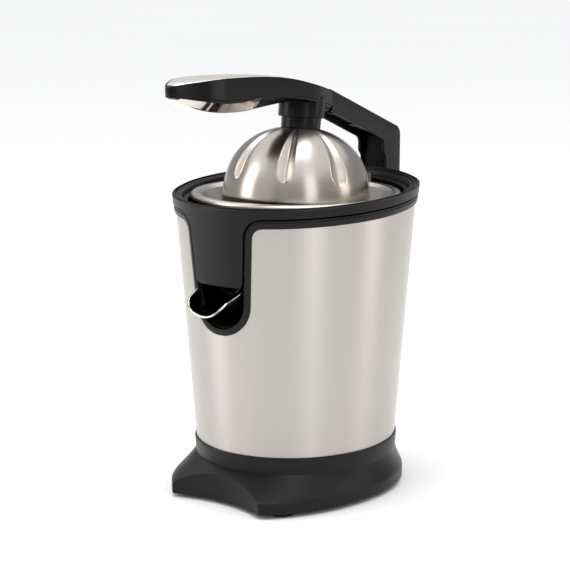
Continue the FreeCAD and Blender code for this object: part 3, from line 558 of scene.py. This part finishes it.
# %% Pulp filter
SLOTS = 36
filter_section = np.concatenate([
    rounded([(85.8, 240.4, 0), (85.8, 244.3, 2.6), (79.6, 244.3, 1.8), (77.0, 241.4, 2.0),
             (66.0, 215.4, 14.0), (61.6, 208.2, 5.0), (57.0, 207.1, 0)], closed=False, steps=7),
    np.stack([np.linspace(55.5, 41.5, 6), np.linspace(207.05, 206.2, 6)], 1),
    rounded([(40.0, 206.1, 0), (37.9, 206.0, 1.4), (37.9, 211.8, 0)], closed=False, steps=5)])
slot_step = np.array([-0.85, 0.85, 2.9, 5.0, 7.1])
around = (np.arange(SLOTS)[:, None] * 360 / SLOTS + slot_step[None, :]).reshape(-1)
angle = np.radians(around)[:, None]
filter_r, filter_z = filter_section.T[:, None, :]
filter_grid = np.stack([filter_r * np.cos(angle), filter_r * np.sin(angle), filter_z + 0 * angle], -1)
middle_r = 0.5 * (filter_section[:-1, 0] + filter_section[1:, 0])
in_slot_ring = (middle_r > 41.0) & (middle_r < 57.2) & (filter_section[:-1, 1] < 207.2)
is_slot = (np.arange(len(around)) % len(slot_step) == 0)[:, None] & in_slot_ring[None, :]
bowl = grid_piece("pulp_filter_bowl", filter_grid, "filter", "polished_steel", ["pulp_filter"], bowl_steel,
                  loop_u=True, loop_v=False, keep=~is_slot)
sheet = bowl.modifiers.new("sheet", "SOLIDIFY")
sheet.thickness, sheet.offset = 0.0008, -1.0
settle(bowl)


# %% [markdown]
# ## Small moulded slabs
# Tabs and ears are flat plates with rounded corners and edges. `slab` takes the outline of the flat side and
# grows it through the thickness: in at the faces, full width between, so that every edge gets a small radius.


# %% Slab builder
def slab(outline2d, low, high, edge, place):
    """Rows from the centre of one face out over its rounded edge, across, and in to the other centre."""
    middle = outline2d.mean(0)
    reach = np.linalg.norm(outline2d - middle, axis=1, keepdims=True)
    turn = np.linspace(0, np.pi / 2, 5)
    pull = np.concatenate([edge * (1 - np.sin(turn)), edge * (1 - np.sin(turn[::-1]))])
    depth = np.concatenate([low + edge * (1 - np.cos(turn)), high - edge * (1 - np.cos(turn[::-1]))])
    rows = [middle + (outline2d - middle) * (1 - p / reach) for p in pull]
    rows = [middle + 0 * outline2d] + rows + [middle + 0 * outline2d]
    depth = np.concatenate([[low], depth, [high]])
    return np.stack([place(row, d) for row, d in zip(rows, depth)])


tab_outline = rounded([(-13.8, 242.0, 2.0), (13.8, 242.0, 2.0), (13.2, 250.5, 2.4), (-13.2, 250.5, 2.4)],
                      steps=7)


def tab_place(row, depth):
    """The tab's plate bends with the filter rim: y follows the rim's circle at that x."""
    y = np.sqrt(depth ** 2 - row[:, 0] ** 2)
    return np.stack([row[:, 0], y, row[:, 1]], -1)


tab = grid_piece("lift_tab", slab(tab_outline, 84.9, 86.7, 0.6, tab_place), "filter", "grey_abs",
                 ["filter_tab"])

# %% [markdown]
# ## Reamer
# Ten ribs run up an ogive, each a sharp ridge with a rounded valley between. The radius is the ogive's less
# a valley that repeats ten times round and fades out at the tip and at the base ring. Underneath it is
# hollow, with a hexagonal socket for the drive shaft.

# %% Reamer
CONE_LOW, CONE_TOP, CONE_R = 208.0, 274.0, 36.0


def ogive(z, grow):
    """Radius of the reamer: (R + grow) times (1 - k to 1.9) to 0.8, k running from base to tip."""
    k = np.clip((z - CONE_LOW) / (CONE_TOP - CONE_LOW), 0, 1)
    return (CONE_R + grow) * (1 - k ** 1.9) ** 0.8


def reamer_grid(count=240):
    """Rows from the tip down the ribs, over the base ring, up inside, and down and up the hex socket."""
    phi = np.linspace(0, 2 * np.pi, count, endpoint=False)[:, None]
    z = CONE_TOP - (CONE_TOP - 211.0) * np.linspace(0, 1, 60) ** 1.6
    valley = 1 - np.abs(np.cos(5 * phi)) ** 6
    fade = np.clip((z - 210.8) / 5.0, 0, 1) * np.clip((CONE_TOP - z) / 7.0, 0, 1)
    outer_r = np.maximum(ogive(z, 0)[None, :] - 3.6 * valley * fade[None, :], 0)
    ring_r, ring_z = np.array([35.6, 36.0, 36.0, 35.6]), np.array([210.5, 210.1, 208.4, 208.0])
    inside_z = np.linspace(208.0, 250.0, 14)
    inside_r = ogive(inside_z + 3, -6.5)
    boss_r, boss_z = np.array([8.2, 8.2, 7.8]), np.array([246.0, 226.4, 226.0])
    hexagon = 4.2 / np.cos(np.mod(phi, np.pi / 3) - np.pi / 6)
    flat = np.ones_like(phi)
    hollow = [flat * inside_r, flat * boss_r, hexagon, hexagon, 0 * phi]
    r = np.concatenate([outer_r, flat * ring_r] + hollow, 1)
    zz = np.concatenate([z, ring_z, inside_z, boss_z, [226.0, 247.0, 247.0]])[None, :] + 0 * r
    return polar(r, phi, zz)


reamer = grid_piece("reamer", reamer_grid(), "reamer", "black_abs", ["reamer_cone"],
                    loop_u=True, loop_v=False, sharp=30.0)

# %% [markdown]
# ## Press cup
# The cup is spun from steel and then has eight teardrop flutes pressed in, which the orange half turns
# against. The dome is a superellipse. Every flute is a teardrop on the dome: narrow by the neck, widest low
# down, with a round end. The grid's columns follow the flute's outline, so its edge stays crisp, and the
# point moves inwards along the dome's normal by the depth.

# %% Dome with flutes
COLUMNS = 48
CUP_R, CUP_H, CUP_POWER = 60.2, 58.9, 2.25
CUP_BASE = np.array([0.0, 0.0, 237.3])
LEAN = math.radians(6.0)
FLUTES, FLUTE_START, FLUTE_TURN = 8, 15.0, 28.5
FLUTE_HALF, FLUTE_DEPTH = 6.9, 3.6


def on_cup(points):
    """Turns a shape made about Z, steel edge at zero, by six degrees about X and lifts it into place."""
    x, y, z = points[..., 0], points[..., 1], points[..., 2]
    c, s = math.cos(LEAN), math.sin(LEAN)
    return np.stack([x, y * c + z * s, z * c - y * s], -1) + CUP_BASE


def meridian(hole, rows=72):
    """(r, h) of the dome's side from the steel edge up to the hole's radius."""
    t = np.linspace(0, 1, rows * 8)
    h = CUP_H * np.sin(np.pi / 2 * t)
    r = CUP_R * np.maximum(0, 1 - (h / CUP_H) ** CUP_POWER) ** (1 / CUP_POWER)
    along = np.concatenate([[0], np.cumsum(np.hypot(np.diff(r), np.diff(h)))])
    stop = np.interp(-hole, -r, along)
    want = np.linspace(0, stop, rows)
    return np.interp(want, along, r), np.interp(want, along, h), want


def fluted(offset, hole):
    """Dome points pushed inwards by offset plus the flute depth. Grid is (angle, rows up the side)."""
    r, h, along = meridian(hole)
    dr, dh = np.gradient(r, along), np.gradient(h, along)
    normal = np.stack([dh, -dr], -1) / np.hypot(dr, dh)[:, None]
    s = np.clip((along - FLUTE_START) / (along[-1] - 2.0 - FLUTE_START), 0, 1)
    blunt = np.sqrt(np.clip(1 - (1 - np.minimum(s / 0.16, 1)) ** 2, 0, 1))
    taper = 1 - np.clip((s - 0.16) / 0.84, 0, 1)
    half = np.maximum(FLUTE_HALF * blunt * taper ** 0.62, 0.25)
    depth = FLUTE_DEPTH * blunt * taper ** 0.6 * ((s > 0) & (s < 1))
    v = np.linspace(-1, 1, COLUMNS, endpoint=False)
    sector = np.pi / FLUTES
    c = np.clip(np.abs(v) / 0.6, 0, 1)
    inner_angle = (half / r)[None, :] * c[:, None]
    beyond = np.clip((np.abs(v) - 0.6) / 0.4, 0, 1)[:, None]
    swing = np.sign(v)[:, None] * (inner_angle + (sector - inner_angle) * beyond)
    dent = depth[None, :] * (1.02 - np.sqrt(c ** 2 + 0.02))[:, None].clip(0)
    push = offset + dent
    rr = r[None, :] - normal[None, :, 0] * push
    hh = h[None, :] - normal[None, :, 1] * push
    turn = math.radians(FLUTE_TURN) + np.arange(FLUTES)[:, None, None] * 2 * sector + swing[None]
    turn = turn.reshape(-1, len(r))
    rr, hh = np.tile(rr, (FLUTES, 1)), np.tile(hh, (FLUTES, 1))
    return polar(rr, turn, hh)


def ring_rows(profile, like):
    """Rows at given (r, h), with the same angles as the columns of a grid's first row."""
    turn = np.arctan2(like[:, 0, 0], -like[:, 0, 1])[:, None]
    r, h = profile[None, :, 0], profile[None, :, 1]
    return polar(r, turn, h)


outside = fluted(0.0, 14.0)
inside = fluted(1.0, 14.0)
edge = ring_rows(np.array([(59.45, 0.05), (59.7, -0.1), (60.0, 0.0)]), outside)
dome = np.concatenate([outside[:, ::-1][:, :-1], edge[:, ::-1], inside[:, 1:]], 1)
cup = grid_piece("press_cup_dome", on_cup(dome), "cup", "brushed_steel", ["press_cup"], cup_steel,
                 loop_u=True, sharp=28.0)

# %% [markdown]
# The black liner backs the steel and shows below it as a lip. It follows the flutes, so they also grip the
# fruit from inside, and its crown closes in a pole under the neck.

# %% Cup liner
liner_out = fluted(1.06, 13.0)
liner_in = fluted(3.2, 13.0)
lip_profile = rounded([(59.1, 0.25, 0), (60.2, -0.35, 0.4), (60.2, -5.5, 1.3), (57.0, -5.5, 1.0),
                       (57.0, -2.0, 0)], closed=False, steps=6)
crown_out = ring_rows(np.array([(0.0, 57.84), (7.0, 57.7)]), liner_out)
crown_in = ring_rows(np.array([(7.0, 55.5), (0.0, 55.7)]), liner_out)
liner_rows = np.concatenate([crown_out, liner_out[:, :1:-1], ring_rows(lip_profile, liner_out),
                             liner_in[:, 2:], crown_in], 1)
liner = grid_piece("cup_inner_liner", on_cup(liner_rows), "cup", "black_abs", ["cup_liner"],
                   loop_u=True, loop_v=False)

# %% [markdown]
# ## Neck and collar
# The cup hangs from the arm by a short neck, which rocks a few degrees on a cross pin inside the arm's
# collar. Both are turned shapes with small edge radii, so that each edge draws a line of light.

# %% Neck and collar
neck_profile = rounded([(10.5, 56.7, 0.3), (13.9, 56.7, 0.3), (13.9, 57.95, 0.1), (16.1, 57.7, 0.4),
                        (16.1, 80.0, 0.8), (10.5, 80.0, 0.5)], steps=5)
neck = grid_piece("cup_neck_tube", on_cup(turned(neck_profile)), "cup", "gloss_black_abs",
                  ["cup_neck"], loop_u=True)
collar_profile = rounded([(0.0, 84.0, 0), (19.0, 84.0, 0.8), (19.0, 66.3, 1.0), (17.3, 66.3, 0.5),
                          (17.3, 82.0, 0.3), (0.0, 82.0, 0)], closed=False, steps=6)
collar = grid_piece("arm_collar_cap", on_cup(turned(collar_profile)), "arm", "gloss_black_abs",
                    ["arm_collar"], loop_u=True, loop_v=False)

# %% [markdown]
# ## Grip and front of the arm
# The arm's front is one smooth hull. At every station along Y its section is a polygon with rounded corners:
# a crowned top, an upright black side band, a shallow groove and lip under it, and a belly that slopes in
# underneath. The widths and heights run along the arm as smooth curves through a few stations.

# %% Hull of the grip
STATION = [-151.0, -149.6, -147, -143, -137, -130, -115, -90, -65, -45, -25, 4, 30]
HALF = [1.8, 4.0, 6.4, 9.4, 13.2, 16.8, 20.0, 20.0, 19.7, 19.5, 19.5, 19.5, 14.0]
UNDER = [329.4, 329.2, 328.6, 326.6, 323.2, 320.4, 317.2, 315.3, 316.0, 317.6, 318.6, 313.9, 307.3]
OVER = [337.4, 338.0, 338.8, 339.8, 340.8, 341.6, 342.6, 342.5, 341.7, 340.2, 337.6, 331.3, 325.2]
BELLY = [0.4, 0.5, 0.8, 2.2, 4.4, 6.0, 6.9, 7.9, 8.9, 6.4, 3.2, 2.8, 2.4]
CROWN = 0.9


def station(y):
    """(half width, underside, top, belly height) of the hull at y."""
    return [float(hermite(y, STATION, line)) for line in (HALF, UNDER, OVER, BELLY)]


def hull_section(y):
    """Right half of the hull's corners (x, z, radius) at y, from the crowned top round to the underside."""
    half, low, top, belly = station(y)
    line, fine = low + belly, min(1.0, half / 12.0)
    crown = [(half * k, top - CROWN * k ** 2 * fine, 0.0) for k in (0.15, 0.4, 0.65, 0.85)]
    shoulder = top - CROWN * fine
    return crown + [(half * 0.985, shoulder, 0.5 * fine), (half, shoulder - 0.8, 0.5 * fine),
                    (half, line + 2.2, 0.4 * fine), (half - 0.7 * fine, line + 1.6, 0.25 * fine),
                    (half - 0.7 * fine, line, 0.4 * fine),
                    (half * 0.62, low, min(3.0, 0.3 * belly + 0.3) * fine)]


def hull_row(y):
    """One closed ring of the hull at y, the same number of points at every station."""
    right = hull_section(y)
    corners = right + [(-x, z, r) for x, z, r in right[::-1]]
    ring = rounded(corners, steps=6)
    return np.stack([ring[:, 0], y + 0 * ring[:, 0], ring[:, 1]], -1)


hull_y = np.concatenate([[-151.0, -150.8, -150.5, -150.0, -149.3, -148.3], np.linspace(-147.2, -130, 16),
                         np.linspace(-127, 30, 54)])
hull = np.stack([hull_row(y) for y in hull_y])
front = grid_piece("arm_front_hull", hull, "arm", "gloss_black_abs", ["arm_front"], caps=True,
                   sharp=32.0)


# %% [markdown]
# The pale inlay lies in a pocket in the grip's top, and the polished belly plate stands proud below. The
# pocket leaves a fine dark line round the inlay; it is cut 0.45 mm wider than the inlay.


# %% Inlays in the grip
PLATE_FRONT, PLATE_REAR = -145.0, -66.0


def pad_outline(grow):
    """Plan outline of the inlay: 1.7 mm inside the grip's own outline, grown outwards by grow: (x, y)."""
    y = np.concatenate([[-147.6 - grow], np.linspace(-147.2, -130, 14), np.linspace(-126, -40 + grow, 24)])
    half = hermite(y, STATION, HALF) - 1.7 + grow - 4.0 * np.clip((y + 48.0) / 8.0, 0, 1) ** 2
    half[0] -= 1.2
    right = np.stack([half, y], -1)
    return np.concatenate([right, right[::-1] * np.array([-1, 1])])


def top_height(x, y):
    """Height of the grip's top: the middle line less a crown that grows with the square of x."""
    return hermite(y, STATION, OVER) - CROWN * (x / hermite(y, STATION, HALF)) ** 2


def pad(outline2d, lift, depth, edge=0.5, height=top_height):
    """Plate that follows a height field: rows from the top centre line out, over the edge and in below."""
    centre_y = np.clip(outline2d[:, 1], -140.0, -46.0)
    centre = np.stack([0 * centre_y, centre_y], -1)
    share = np.concatenate([np.linspace(0, 1, 9)[:-1], [1, 1, 1, 1], np.linspace(1, 0, 5)[1:]])
    reach = np.linalg.norm(outline2d - centre, axis=1, keepdims=True)
    pull = np.concatenate([np.zeros(8), [edge, 0.3 * edge, 0, 0], np.zeros(4)])
    rise = lift - np.concatenate([np.zeros(9), [0.3 * edge, edge], np.full(5, depth)])
    rows = []
    for k, p, up in zip(share, pull, rise):
        flat = centre + (outline2d - centre) * (k - p / reach)
        rows.append(np.stack([flat[:, 0], flat[:, 1], height(flat[:, 0], flat[:, 1]) + up], -1))
    return np.stack(rows)


inlay = grid_piece("grip_inlay", pad(pad_outline(0.0), 0.1, 1.5), "arm", "satin_inlay", ["grip_top_insert"])


def belly_shell(y, proud):
    """Half ring of the belly at y: down one side, across the underside and up the other, proud by so much."""
    half, low, top, belly = station(y)
    fade = min(1.0, (y - PLATE_FRONT) / 6.0 + 0.1, (PLATE_REAR - y) / 6.0 + 0.1) if proud > 0 else 1.0
    out = proud * fade
    right = [(half - 0.9 + out, low + belly - 0.3, 0),
             (half * 0.62 + 0.6 * out, low - out, min(3.0, 0.3 * belly + 0.3))]
    points = rounded(right + [(-x, z, r) for x, z, r in right[::-1]], closed=False, steps=9)
    return np.stack([points[:, 0], y + 0 * points[:, 0], points[:, 1]], -1)


belly_y = np.linspace(PLATE_FRONT, PLATE_REAR, 40)
belly_rows = [np.concatenate([belly_shell(y, 0.45), belly_shell(y, -0.7)[::-1]]) for y in belly_y]
belly = grid_piece("grip_belly", np.stack(belly_rows), "arm", "polished_steel", ["grip_belly_insert"],
                   caps=True, sharp=24.0)

pocket_outline = pad_outline(0.45)
pocket = np.stack([np.concatenate([pocket_outline, top_height(*pocket_outline.T)[:, None] + up], 1)
                   for up in (-1.6, 9.0)])
collar_cut = on_cup(turned(np.array([(19.05, 60.0), (19.05, 84.05)])).transpose(1, 0, 2))
carve(front, [tool_piece(pocket), tool_piece(collar_cut)])

# %% [markdown]
# ## Beam and leg
# Behind the collar the arm is a channel, open below: it slopes down, turns through a right angle and stands
# as a leg behind the body. The section is a U with rounded shoulders. It is swept between two lines, the
# outer one along the top and the back and the inner one along the open side.

# %% Beam
LEG_FOOT, LEG_BACK, LEG_FRONT = 246.0, 128.3, 106.5
beam_outer = rounded([(30, 325.2, 0), (LEG_BACK, 286.3, 9.0), (LEG_BACK, LEG_FOOT, 0)],
                     closed=False, steps=16)
beam_inner = rounded([(30, 307.3, 0), (103, 277.7, 6.0), (103, LEG_FOOT, 0)], closed=False, steps=16)


def beam_line(line, ends, foot):
    """Even steps on the first run, the corner's own arc, even steps down the leg to its foot at y = foot."""
    first = line[0] + (line[1] - line[0]) * np.linspace(0, 1, ends, endpoint=False)[:, None]
    z = np.linspace(line[-2][1], LEG_FOOT, 25)[1:]
    y = line[-1][0] + (foot - line[-1][0]) * np.clip((267.0 - z) / 5.0, 0, 1)
    return np.concatenate([first, line[1:-1], np.stack([y, z], -1)])


outer_line, inner_line = beam_line(beam_outer, 26, LEG_BACK), beam_line(beam_inner, 26, LEG_FRONT)
beam_rows = []
for far, near in zip(outer_line, inner_line):
    deep = np.linalg.norm(near - far)
    channel = rounded([(14, deep, 0.7), (14, 0, 2.4), (-14, 0, 2.4), (-14, deep, 0.7), (-11.5, deep, 0.7),
                       (-11.5, 2.5, 1.4), (11.5, 2.5, 1.4), (11.5, deep, 0.7)], steps=6)
    at = far + (near - far) / deep * channel[:, 1:2]
    beam_rows.append(np.stack([channel[:, 0], at[:, 0], at[:, 1]], -1))
beam = grid_piece("arm_beam_channel", np.stack(beam_rows), "arm", "black_abs", ["arm_beam"],
                  caps=True, sharp=35.0)

# %% [markdown]
# ## Plinth
# The plinth is an oval with a longer front, from which a shallow circle is cut so that a glass stands close
# under the spout. Above an upright edge the skirt sweeps in and up to the neck that holds the steel. The
# section rows carry a share of the way from the outline to the oval, and the circle is cut out afterwards.

# %% Plinth
PLINTH_X, PLINTH_REAR, PLINTH_FRONT = 87.3, 93.5, 122.0
SKIRT_LOW, SKIRT_TOP, SKIRT_POWER, SKIRT_GROW = 12.9, 29.0, 0.94, 1.4
GLASS_R, GLASS_Y = 117.0, -212.0
INLET_R, INLET_Z = 7.0, 19.5


def plinth_radius(phi, z, grow, share):
    """Distance from the axis at angle phi: an ellipse low down and the body's oval above, mixed by share."""
    length = np.where(np.cos(phi) > 0, PLINTH_FRONT, PLINTH_REAR) + np.minimum(grow, 0)
    width = PLINTH_X + np.minimum(grow, 0)
    low = width * length / np.hypot(length * np.sin(phi), width * np.cos(phi))
    wide, deep = half_x(z, grow), half_y(z, grow)
    high = wide * deep / np.hypot(deep * np.sin(phi), wide * np.cos(phi))
    return low + (high - low) * share


def plinth_grid(count=360):
    """Section rows (level, growth, share of the way to the oval), round edges included, closed inside."""
    z = [3.5, 3.7, 4.6, 8.0, 11.6, 12.4, 12.9, 13.4]
    share = [0.0, 0.0, 0.0, 0.0, 0.0, 0.004, 0.015, 0.045]
    grow = [-0.9, -0.3, 0.0, 0.0, 0.0, 0.0, 0.0, 0.0]
    skirt_k = np.linspace(0.07, 1, 16)
    z += list(SKIRT_LOW + (SKIRT_TOP - SKIRT_LOW) * skirt_k ** SKIRT_POWER)
    share += list(skirt_k)
    grow += list(SKIRT_GROW * skirt_k)
    z += [29.6, 32.0, 38.0, 41.6, 42.4, 42.7, 42.7, 42.4, 38.2, 38.0, 38.0, 30.0]
    share += [1.0] * 12
    grow += [1.4, 1.4, 1.4, 1.4, 1.1, 0.7, 0.3, 0.06, 0.06, -0.4, -6.0, -7.0]
    z += [24.0, 16.0, 9.0, 3.7, 3.5]
    share += [0.7, 0.25, 0.0, 0.0, 0.0]
    grow += [-4.0, -3.2, -3.0, -3.0, -2.7]
    z, share, grow = np.array(z), np.array(share), np.array(grow)
    phi = np.linspace(0, 2 * np.pi, count, endpoint=False)[:, None]
    radius = plinth_radius(phi, z[None, :], grow[None, :], share[None, :])
    return polar(radius, phi, z[None, :])


plinth = grid_piece("plinth", plinth_grid(), "base", "black_abs", ["base_plinth"], loop_u=True)
glass_turn = np.linspace(0, 2 * np.pi, 480, endpoint=False)
glass_circle = np.stack([GLASS_R * np.cos(glass_turn), GLASS_Y + GLASS_R * np.sin(glass_turn)], -1)
glass_tool = np.stack([np.concatenate([glass_circle, np.full((480, 1), z)], 1) for z in (-5.0, 60.0)])
inlet_turn = np.linspace(0, 2 * np.pi, 48, endpoint=False)
inlet_x, inlet_z = INLET_R * np.cos(inlet_turn), INLET_Z + INLET_R * np.sin(inlet_turn)
inlet_tool = np.stack([np.stack([inlet_x, np.full(48, y), inlet_z], -1) for y in (60.0, 120.0)])
carve(plinth, [tool_piece(glass_tool), tool_piece(inlet_tool)], sharp=25.0)
inner_turn = np.linspace(-0.375, 0.375, 90)


def skirt_height(x, y):
    """Height of the skirt above a point in plan: the z at which the plinth's radius equals its distance."""
    levels = np.linspace(SKIRT_TOP, SKIRT_LOW, 60)
    share = ((levels - SKIRT_LOW) / 16.1) ** (1 / SKIRT_POWER)
    phi, rho = np.arctan2(x, -y), np.hypot(x, y)
    radius = plinth_radius(phi[:, None], levels[None, :], SKIRT_GROW * share[None, :], share[None, :])
    return np.array([np.interp(d, row, levels) for d, row in zip(rho, radius)])


wall_rows = []
for r, top in ((117.03, False), (117.03, True), (119.8, True), (119.8, False)):
    x, y = r * np.sin(inner_turn), GLASS_Y + r * np.cos(inner_turn)
    z = skirt_height(x, y) - 1.0 if top else np.full_like(x, 3.6)
    wall_rows.append(np.stack([x, y, z], -1))
glass_wall = grid_piece("plinth_glass_wall", np.stack(wall_rows, 1), "base", "black_abs",
                        ["base_plinth"], caps=True)

# %% [markdown]
# ## Spout
# The spout is a bent steel half pipe that hangs on two pins, so that it can tip up and stop the drip. Its
# front edge is cut on a slant and rolled into a bead. The two parameters are the distance along the pipe and
# the angle round it; the bead is in the section.

# %% Spout scoop
SPOUT_R, SPOUT_Z, SPOUT_REAR = 22.0, 180.0, -60.0


def scoop_grid():
    """Outside forward, round the bead, inside back. The front limit depends on the height on the pipe."""
    a = np.radians(np.linspace(-90, 90, 73))[:, None]
    height = SPOUT_Z - SPOUT_R * np.cos(a)
    front_y = np.interp(height, [158.0, 161.0, 165.0, 169.5, 173.5, 177.0, 179.0, 180.0],
                        [-116.3, -116.5, -115.0, -111.2, -102.6, -94.6, -91.5, -90.2])
    f = np.concatenate([np.linspace(0, 1, 16), np.ones(8), np.linspace(1, 0, 16)])
    e = np.concatenate([-4.2 * np.linspace(0, 1, 16), [-2.4, -1.5, -0.6, 0, 0, -0.6, -1.5, -2.4],
                        -4.2 * np.linspace(1, 0, 16)])
    rho = np.concatenate([np.full(16, SPOUT_R), [22.0, 22.2, 22.3, 22.0, 21.0, 20.6, 20.6, 20.8],
                          np.full(16, 20.8)])
    y = SPOUT_REAR + (front_y - SPOUT_REAR) * f[None, :] - e[None, :]
    return np.stack([rho[None, :] * np.sin(a), y, SPOUT_Z - rho[None, :] * np.cos(a)], -1).transpose(1, 0, 2)


scoop = grid_piece("spout_half_pipe", scoop_grid().transpose(1, 0, 2), "spout", "polished_steel",
                   ["spout_scoop"], caps=True, sharp=35.0)
ear_outline = rounded([(-83.5, 178.5, 1.0), (-72.5, 178.5, 1.0), (-73.5, 184.6, 3.5), (-82.5, 184.6, 3.5)],
                      steps=7)
for side, label in ((1, "right"), (-1, "left")):
    grid = slab(ear_outline, 20.7, 22.1, 0.3,
                lambda row, d: np.stack([0 * row[:, 0] + side * d, row[:, 0], row[:, 1]], -1))
    grid_piece(f"spout_ear_{label}", grid, "spout", "polished_steel", ["spout_scoop"])


# %% [markdown]
# ## Softened copies of CAD parts
# Some CAD parts have the right shape and only lack a mould's edge radii. A copy of the mesh is merged, its
# flat faces joined again, and a Bevel modifier rounds its edges.


# %% Softened parts
def softened(node, name, body, slot, width_mm):
    """Merged copy of a CAD node with rounded edges, which stands for the node."""
    mesh = frame["nodes"][node].data.copy()
    work = bmesh.new()
    work.from_mesh(mesh)
    bmesh.ops.remove_doubles(work, verts=work.verts, dist=5e-6)
    bmesh.ops.dissolve_limit(work, angle_limit=math.radians(1.0), verts=work.verts, edges=work.edges)
    work.to_mesh(mesh)
    work.free()
    mesh.materials.clear()
    mesh.materials.append(FINISH[slot])
    piece = put(name, mesh)
    bevel = piece.modifiers.new("edge", "BEVEL")
    bevel.width, bevel.segments, bevel.limit_method = width_mm / 1000, 3, "ANGLE"
    bevel.angle_limit = math.radians(35)
    bevel.use_clamp_overlap = True
    settle(piece)
    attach(piece, body)
    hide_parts(node)
    print(f"{name}: {len(piece.data.polygons)} faces")
    return piece


bracket = softened("hinge_bracket", "hinge_block", "base", "black_abs", 0.8)

# %% [markdown]
# ## Finishes for the CAD parts that stay
# Screws, pins, the motor, the gears and the chassis keep their CAD shape. Each takes the finish that
# the record names for it, but what sits deep in shade gets a darker, rougher black: painted shade.

# %% Finishes by slot
# Painted shade: these parts sit deep in shade and get the darker, rougher black instead of their own finish.
SHADED = ("spout_recess", "arm_core", "inner_chassis", "arm_screws")
slot_of = {row["node"]: row["material_slot"] for row in frame["record"]["subparts"]}
for node, obj in frame["nodes"].items():
    finish = shade_black_abs if node in SHADED else FINISH[slot_of[node]]
    for holder in obj.material_slots:
        holder.material = finish
print("CAD nodes finished:", len(frame["nodes"]))

# %% [markdown]
# ## Studio
# The machine stands on a pale floor in an almost white room. Four tall soft boxes round it give the steel its
# upright bands, the strongest at the left front. One more box hangs overhead, and a wide, soft sun stands for
# the light of the room. The camera looks from the front right, a little above the rim.


# %% Floor, lights and camera
FLOOR_HALF, FLOOR_STEPS = 30.0, 41


def floor_grid():
    """Flat floor, 30 m each way from the machine."""
    x = np.linspace(-FLOOR_HALF, FLOOR_HALF, FLOOR_STEPS)
    return np.stack(np.broadcast_arrays(x[:, None], x[None, :], 0.0), -1)


floor_material, floor_tree = new_material("floor, matt white paint")
floor_place = add(floor_tree, "TexCoord").outputs["Object"]
floor_noise = add(floor_tree, "TexNoise", {"Scale": 0.8}, {"Vector": floor_place})
floor_tint = add(floor_tree, "Mix", {"data_type": "RGBA", 6: linear("#f6f6f6"), 7: linear("#fafafa")},
                 {"Factor": floor_noise})
finish_material(floor_tree, add(floor_tree, "BsdfPrincipled", {"Roughness": 0.9, "IOR": 1.2},
                                {"Base Color": floor_tint.outputs[2]}))
floor_mesh = bpy.data.meshes.new("floor")
floor_faces = grid_faces(FLOOR_STEPS, FLOOR_STEPS, False, False)
floor_mesh.from_pydata(floor_grid().reshape(-1, 3).tolist(), [], floor_faces.tolist())
floor_mesh.materials.append(floor_material)
floor = put("floor", floor_mesh)

world = bpy.data.worlds.new("studio")
bpy.context.scene.world = world
world.use_nodes = True
room = world.node_tree.nodes["Background"].inputs
room["Color"].default_value = linear("#f2f4f6")
room["Strength"].default_value = 0.44


def soft_light(name, place, target, size, power, colour):
    """A rectangular area light at place, facing target. size is (width, height) in metres."""
    lamp = bpy.data.lights.new(name, "AREA")
    lamp.shape, lamp.size, lamp.size_y = "RECTANGLE", size[0], size[1]
    lamp.energy, lamp.color = power, linear(colour)[:3]
    holder = put(name, lamp)
    holder.location = place
    holder.rotation_euler = (Vector(target) - Vector(place)).to_track_quat("-Z", "Y").to_euler()


def box_at(name, azimuth, distance, width, height, power, colour):
    """A tall soft box that stands on the floor at this azimuth, counted from -Y towards +X, facing in."""
    turn = math.radians(azimuth)
    place = (distance * math.sin(turn), -distance * math.cos(turn), height / 2 + 0.02)
    soft_light(name, place, (0.0, 0.0, height / 2), (width, height), power, colour)


box_at("box_front_left", -44, 1.7, 0.62, 1.5, 10.0, "#fff6ee")
box_at("box_front_fill", -12, 2.1, 1.1, 1.5, 1.6, "#fff8f0")
box_at("box_right", 62, 1.8, 0.55, 1.5, 4.5, "#ffffff")
box_at("box_back_right", 121, 1.8, 0.50, 1.5, 5.5, "#fff2ea")
soft_light("box_top", (-0.1, -0.1, 1.9), (0.0, 0.0, 0.2), (1.3, 1.3), 14, "#ffffff")
sky = bpy.data.lights.new("room_light", "SUN")
sky.energy, sky.angle = 1.9, math.radians(120)
put("room_light", sky)
bpy.context.scene.view_settings.view_transform = "Standard"

PIVOT = Vector((0.0, 0.0, 0.1467))
AZIMUTH, ELEVATION, DISTANCE = math.radians(38.6), math.radians(12.1), 1.377
back = Vector((math.sin(AZIMUTH) * math.cos(ELEVATION), -math.cos(AZIMUTH) * math.cos(ELEVATION),
               math.sin(ELEVATION)))
lens = bpy.data.cameras.new("camera")
lens.lens, lens.sensor_width, lens.shift_x, lens.shift_y = 105.1, 36.0, -0.0193, 0.0393
lens.clip_end = 100.0
camera = put("camera", lens)
camera.location = PIVOT + back * DISTANCE
camera.rotation_euler = (-back).to_track_quat("-Z", "Y").to_euler()
bpy.context.scene.camera = camera
